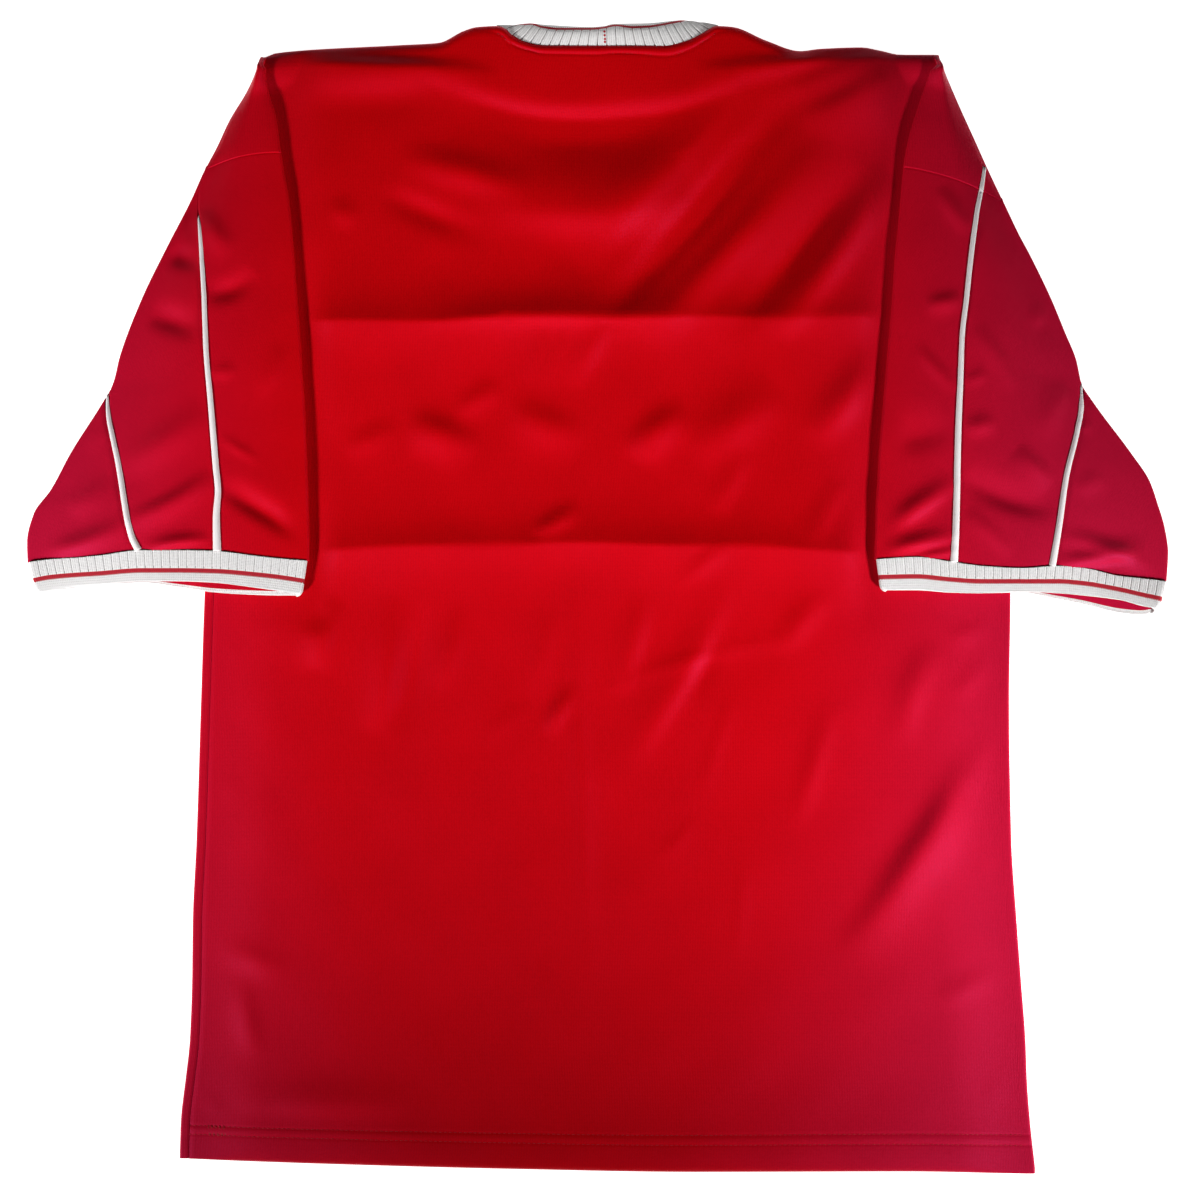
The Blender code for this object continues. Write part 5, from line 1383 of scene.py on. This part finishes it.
def tube(name, points, finish, sides=14):
    """Piping: a tube with an oval section through points that carry its way up, half its
    thickness and half its width."""
    points = np.array(points)
    centre, up, thick, wide = points[:, :3], points[:, 3:6], points[:, 6], points[:, 7]
    along = np.gradient(centre, axis=0)
    along /= np.linalg.norm(along, axis=1)[:, None]
    across = np.cross(along, up)
    across /= np.linalg.norm(across, axis=1)[:, None]
    up = np.cross(across, along)
    angle = np.linspace(0, 2 * math.pi, sides + 1)
    grid = (
        centre[:, None]
        + across[:, None] * (np.cos(angle)[None, :] * wide[:, None])[:, :, None]
        + up[:, None] * (np.sin(angle)[None, :] * thick[:, None])[:, :, None]
    )
    run = summed(np.linalg.norm(np.diff(centre, axis=0), axis=1))
    count = len(points)
    number = np.arange(count * sides).reshape(count, sides)
    after = np.roll(number, -1, axis=1)
    quads = np.stack((number[:-1], number[1:], after[1:], after[:-1]), axis=2).reshape(-1, 4)
    faces = quads.tolist() + [number[0].tolist(), number[-1][::-1].tolist()]
    mesh = bpy.data.meshes.new(name)
    mesh.from_pydata(grid[:, :-1].reshape(-1, 3) * MM, [], faces)
    mesh.shade_smooth()
    layer = mesh.uv_layers.new(name="cloth")
    girth = PIPING * 2 * math.pi
    places = []
    for i in range(count - 1):
        for j in range(sides):
            for row, column in ((i, j), (i + 1, j), (i + 1, j + 1), (i, j + 1)):
                places.append((girth * column / sides * MM, run[row] * MM))
    places += [(0.0, 0.0)] * (2 * sides)
    layer.uv.foreach_set("vector", np.array(places, np.float32).reshape(-1))
    return add(name, mesh, finish)


# A stitch's rings: share of the way along it, share of its thickness, and rise
STITCH_FORM = ((0.0, 0.45, -0.12), (0.25, 1.0, 0.03), (0.75, 1.0, 0.03), (1.0, 0.45, -0.12))


def sewn(name, stitches, thick, finish, sides=6):
    """Stitches in one mesh: each runs from a start to an end on the cloth and bulges between."""
    angle = np.arange(sides) * 2 * math.pi / sides
    points, faces = [], []
    for start, end in stitches:
        start, end = np.array(start), np.array(end)
        along = (end - start) / np.linalg.norm(end - start)
        across = np.cross(along, (0.0, 0.0, 1.0))
        across /= np.linalg.norm(across)
        up = np.cross(across, along)
        base = len(points)
        for t, share, rise in STITCH_FORM:
            middle = mix(start, end, t) + up * rise
            for turn in angle:
                out = math.cos(turn) * across + math.sin(turn) * up
                points.append(middle + thick * share * out)
        for ring in range(len(STITCH_FORM) - 1):
            for k in range(sides):
                a, b = base + ring * sides + k, base + ring * sides + (k + 1) % sides
                faces.append((a, b, b + sides, a + sides))
        last = base + (len(STITCH_FORM) - 1) * sides
        faces.append(tuple(range(base, base + sides))[::-1])
        faces.append(tuple(range(last, last + sides)))
    mesh = bpy.data.meshes.new(name)
    mesh.from_pydata(np.array(points) * MM, [], faces)
    mesh.shade_smooth()
    return add(name, mesh, finish)


def on_back(x, y):
    """A point on the back panel's face."""
    return float(x), float(y), float(back_height(np.array(x), np.array(y))) + KNIT / 2


def run_of(xs, ys, stitch, gap):
    """Stitches along a line on the back panel, through its points."""
    along = summed(np.hypot(np.diff(xs), np.diff(ys)))
    found = []
    for start in np.arange(0, along[-1] - stitch, stitch + gap):
        ends = (start, start + stitch)
        found.append([on_back(np.interp(at, along, xs), np.interp(at, along, ys)) for at in ends])
    return found


# From X to X in so many steps; a stitch and its gap
HEM_SEWN, NECK_SEWN = (-274, 288, 400), (-66, 82, 200)
HEM_STITCH, NECK_STITCH = (2.4, 0.9), (2.2, 0.9)
THREAD_RADIUS = 0.22
BAR_X, BAR_STEP, BAR_STITCHES, BAR_ENDS = -261, 1.35, 9, (15.5, 24.0)


def back_stitches():
    """The hem's twin rows, the bar where they end at the side seam, and the row below the neck."""
    found = []
    for column in ("upper", "lower"):
        x = np.linspace(*HEM_SEWN)
        found += run_of(x, HEM(x) + HEM_STITCHES[column](x), *HEM_STITCH)
    for k in range(BAR_STITCHES):
        x = BAR_X + k * BAR_STEP
        low, high = BAR_ENDS if k % 2 else BAR_ENDS[::-1]
        ends = [(x, float(HEM(x)) + low), (x + BAR_STEP, float(HEM(x)) + high)]
        found.append([on_back(*end) for end in ends])
    x = np.linspace(*NECK_SEWN)
    slope = top_slope(x) / np.hypot(1, top_slope(x))
    depth = NECK_SEAM["depth"](x)
    return found + run_of(x + slope * depth, TOP(x) - depth * np.sqrt(1 - slope**2), *NECK_STITCH)


def settle(piece, node):
    """A piece on the part's body, in the place of its solid."""
    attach(piece, "root")
    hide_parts(node)


def dress():
    """All pieces, under the names of their nodes."""
    red, rib, trim = red_knit(), white_rib(), white_piping()
    pieces = {}

    def cloth(node, patches, maps, thickness, offset, materials):
        piece = wall(node + "_cloth", patches, maps, thickness, offset, materials)
        settle(piece, node)
        pieces[node] = piece

    for node, patches in (("back_panel", back_panel()), ("front_panel", front_panel())):
        cloth(node, patches, [flat_map(grid) for grid in patches], KNIT, 0, [red])
    stitching = sewn("back_stitching", back_stitches(), THREAD_RADIUS, thread())
    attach(stitching, "root")
    pieces["stitching"] = stitching
    grid, places = collar()
    cloth("collar", [grid], [places], RIB, 1, [rib])
    for side in SIGN:
        panels, maps, cords = sleeve(side)
        for name in panels:
            node = f"sleeve_{side}_{name}"
            grid, places = facing_up(panels[name], side), facing_up(maps[name], side)
            cloth(node, [grid], [places * MM], KNIT, 0, [red])
        for name, points in cords.items():
            node = f"piping_{side}_{name}"
            pieces[node] = tube(node + "_cord", points, trim)
            settle(pieces[node], node)
        grid, places = cuff(side)
        cloth(f"cuff_{side}", [grid], [places], RIB, 1, [rib, rib, red, rib])
    return pieces


# ---------------------------------------------------------------- room, lights and camera

CENTRE = (2.36, -2.02)  # under the middle of the photo
CAMERA_HEIGHT, VIEW_WIDTH = 2000.0, 807.6  # the photo's 1200 pixels of 0.673 mm
SENSOR = 36.0
FLOOR_REACH, FLOOR_DROP = 14.0, 0.0001  # in metres
WORLD = 0.02  # strength


def look_at(thing, target):
    direction = Vector(target) - thing.location
    thing.rotation_euler = direction.to_track_quat("-Z", "Y").to_euler()


def softbox(name, place, target, size, power, beam):
    light = bpy.data.lights.new(name, "AREA")
    light.shape = "RECTANGLE"
    light.size, light.size_y = size
    light.energy = power
    light.spread = math.radians(beam)
    made = bpy.data.objects.new(name, light)
    made.location = place
    bpy.context.scene.collection.objects.link(made)
    look_at(made, target)
    return made


# Each light's place, target and size in metres, its power in watts and its beam in degrees
LIGHTS = {
    "left_light": ((-1.232, -0.914, 0.721), (-0.17, 0.14, 0), (0.2, 0.2), 2.2, 46.5),
    "right_light": ((1.249, -0.953, 0.778), (0.2, -0.08, 0), (0.2, 0.2), 1.6, 34.5),
    "top_light": ((0.0, 1.15, 0.85), (0.0, 0.42, 0), (0.2, 0.2), 0.04, 18),
}
SHINING = ("left_light", "right_light")  # the others leave no highlights


def studio():
    """The floor, the lights, the world and the camera straight above."""
    mesh = bpy.data.meshes.new("floor")
    signs = ((-1, -1), (1, -1), (1, 1), (-1, 1))
    corners = [(x * FLOOR_REACH, y * FLOOR_REACH, -FLOOR_DROP) for x, y in signs]
    mesh.from_pydata(corners, [], [(0, 1, 2, 3)])
    add("floor", mesh, pale_floor())
    for name, light in LIGHTS.items():
        softbox(name, *light).visible_glossy = name in SHINING
    world = bpy.data.worlds.new("studio")
    bpy.context.scene.world = world
    world.use_nodes = True
    background = world.node_tree.nodes["Background"]
    background.inputs["Color"].default_value = (1.0, 1.0, 1.0, 1.0)
    background.inputs["Strength"].default_value = WORLD
    lens = bpy.data.cameras.new("camera")
    lens.sensor_width = SENSOR
    lens.lens = SENSOR * CAMERA_HEIGHT / VIEW_WIDTH
    camera = bpy.data.objects.new("camera", lens)
    camera.location = (CENTRE[0] * MM, CENTRE[1] * MM, CAMERA_HEIGHT * MM)
    bpy.context.scene.collection.objects.link(camera)
    bpy.context.scene.camera = camera
    bpy.context.scene.view_settings.view_transform = "Standard"


dress()
studio()
bpy.context.view_layer.update()
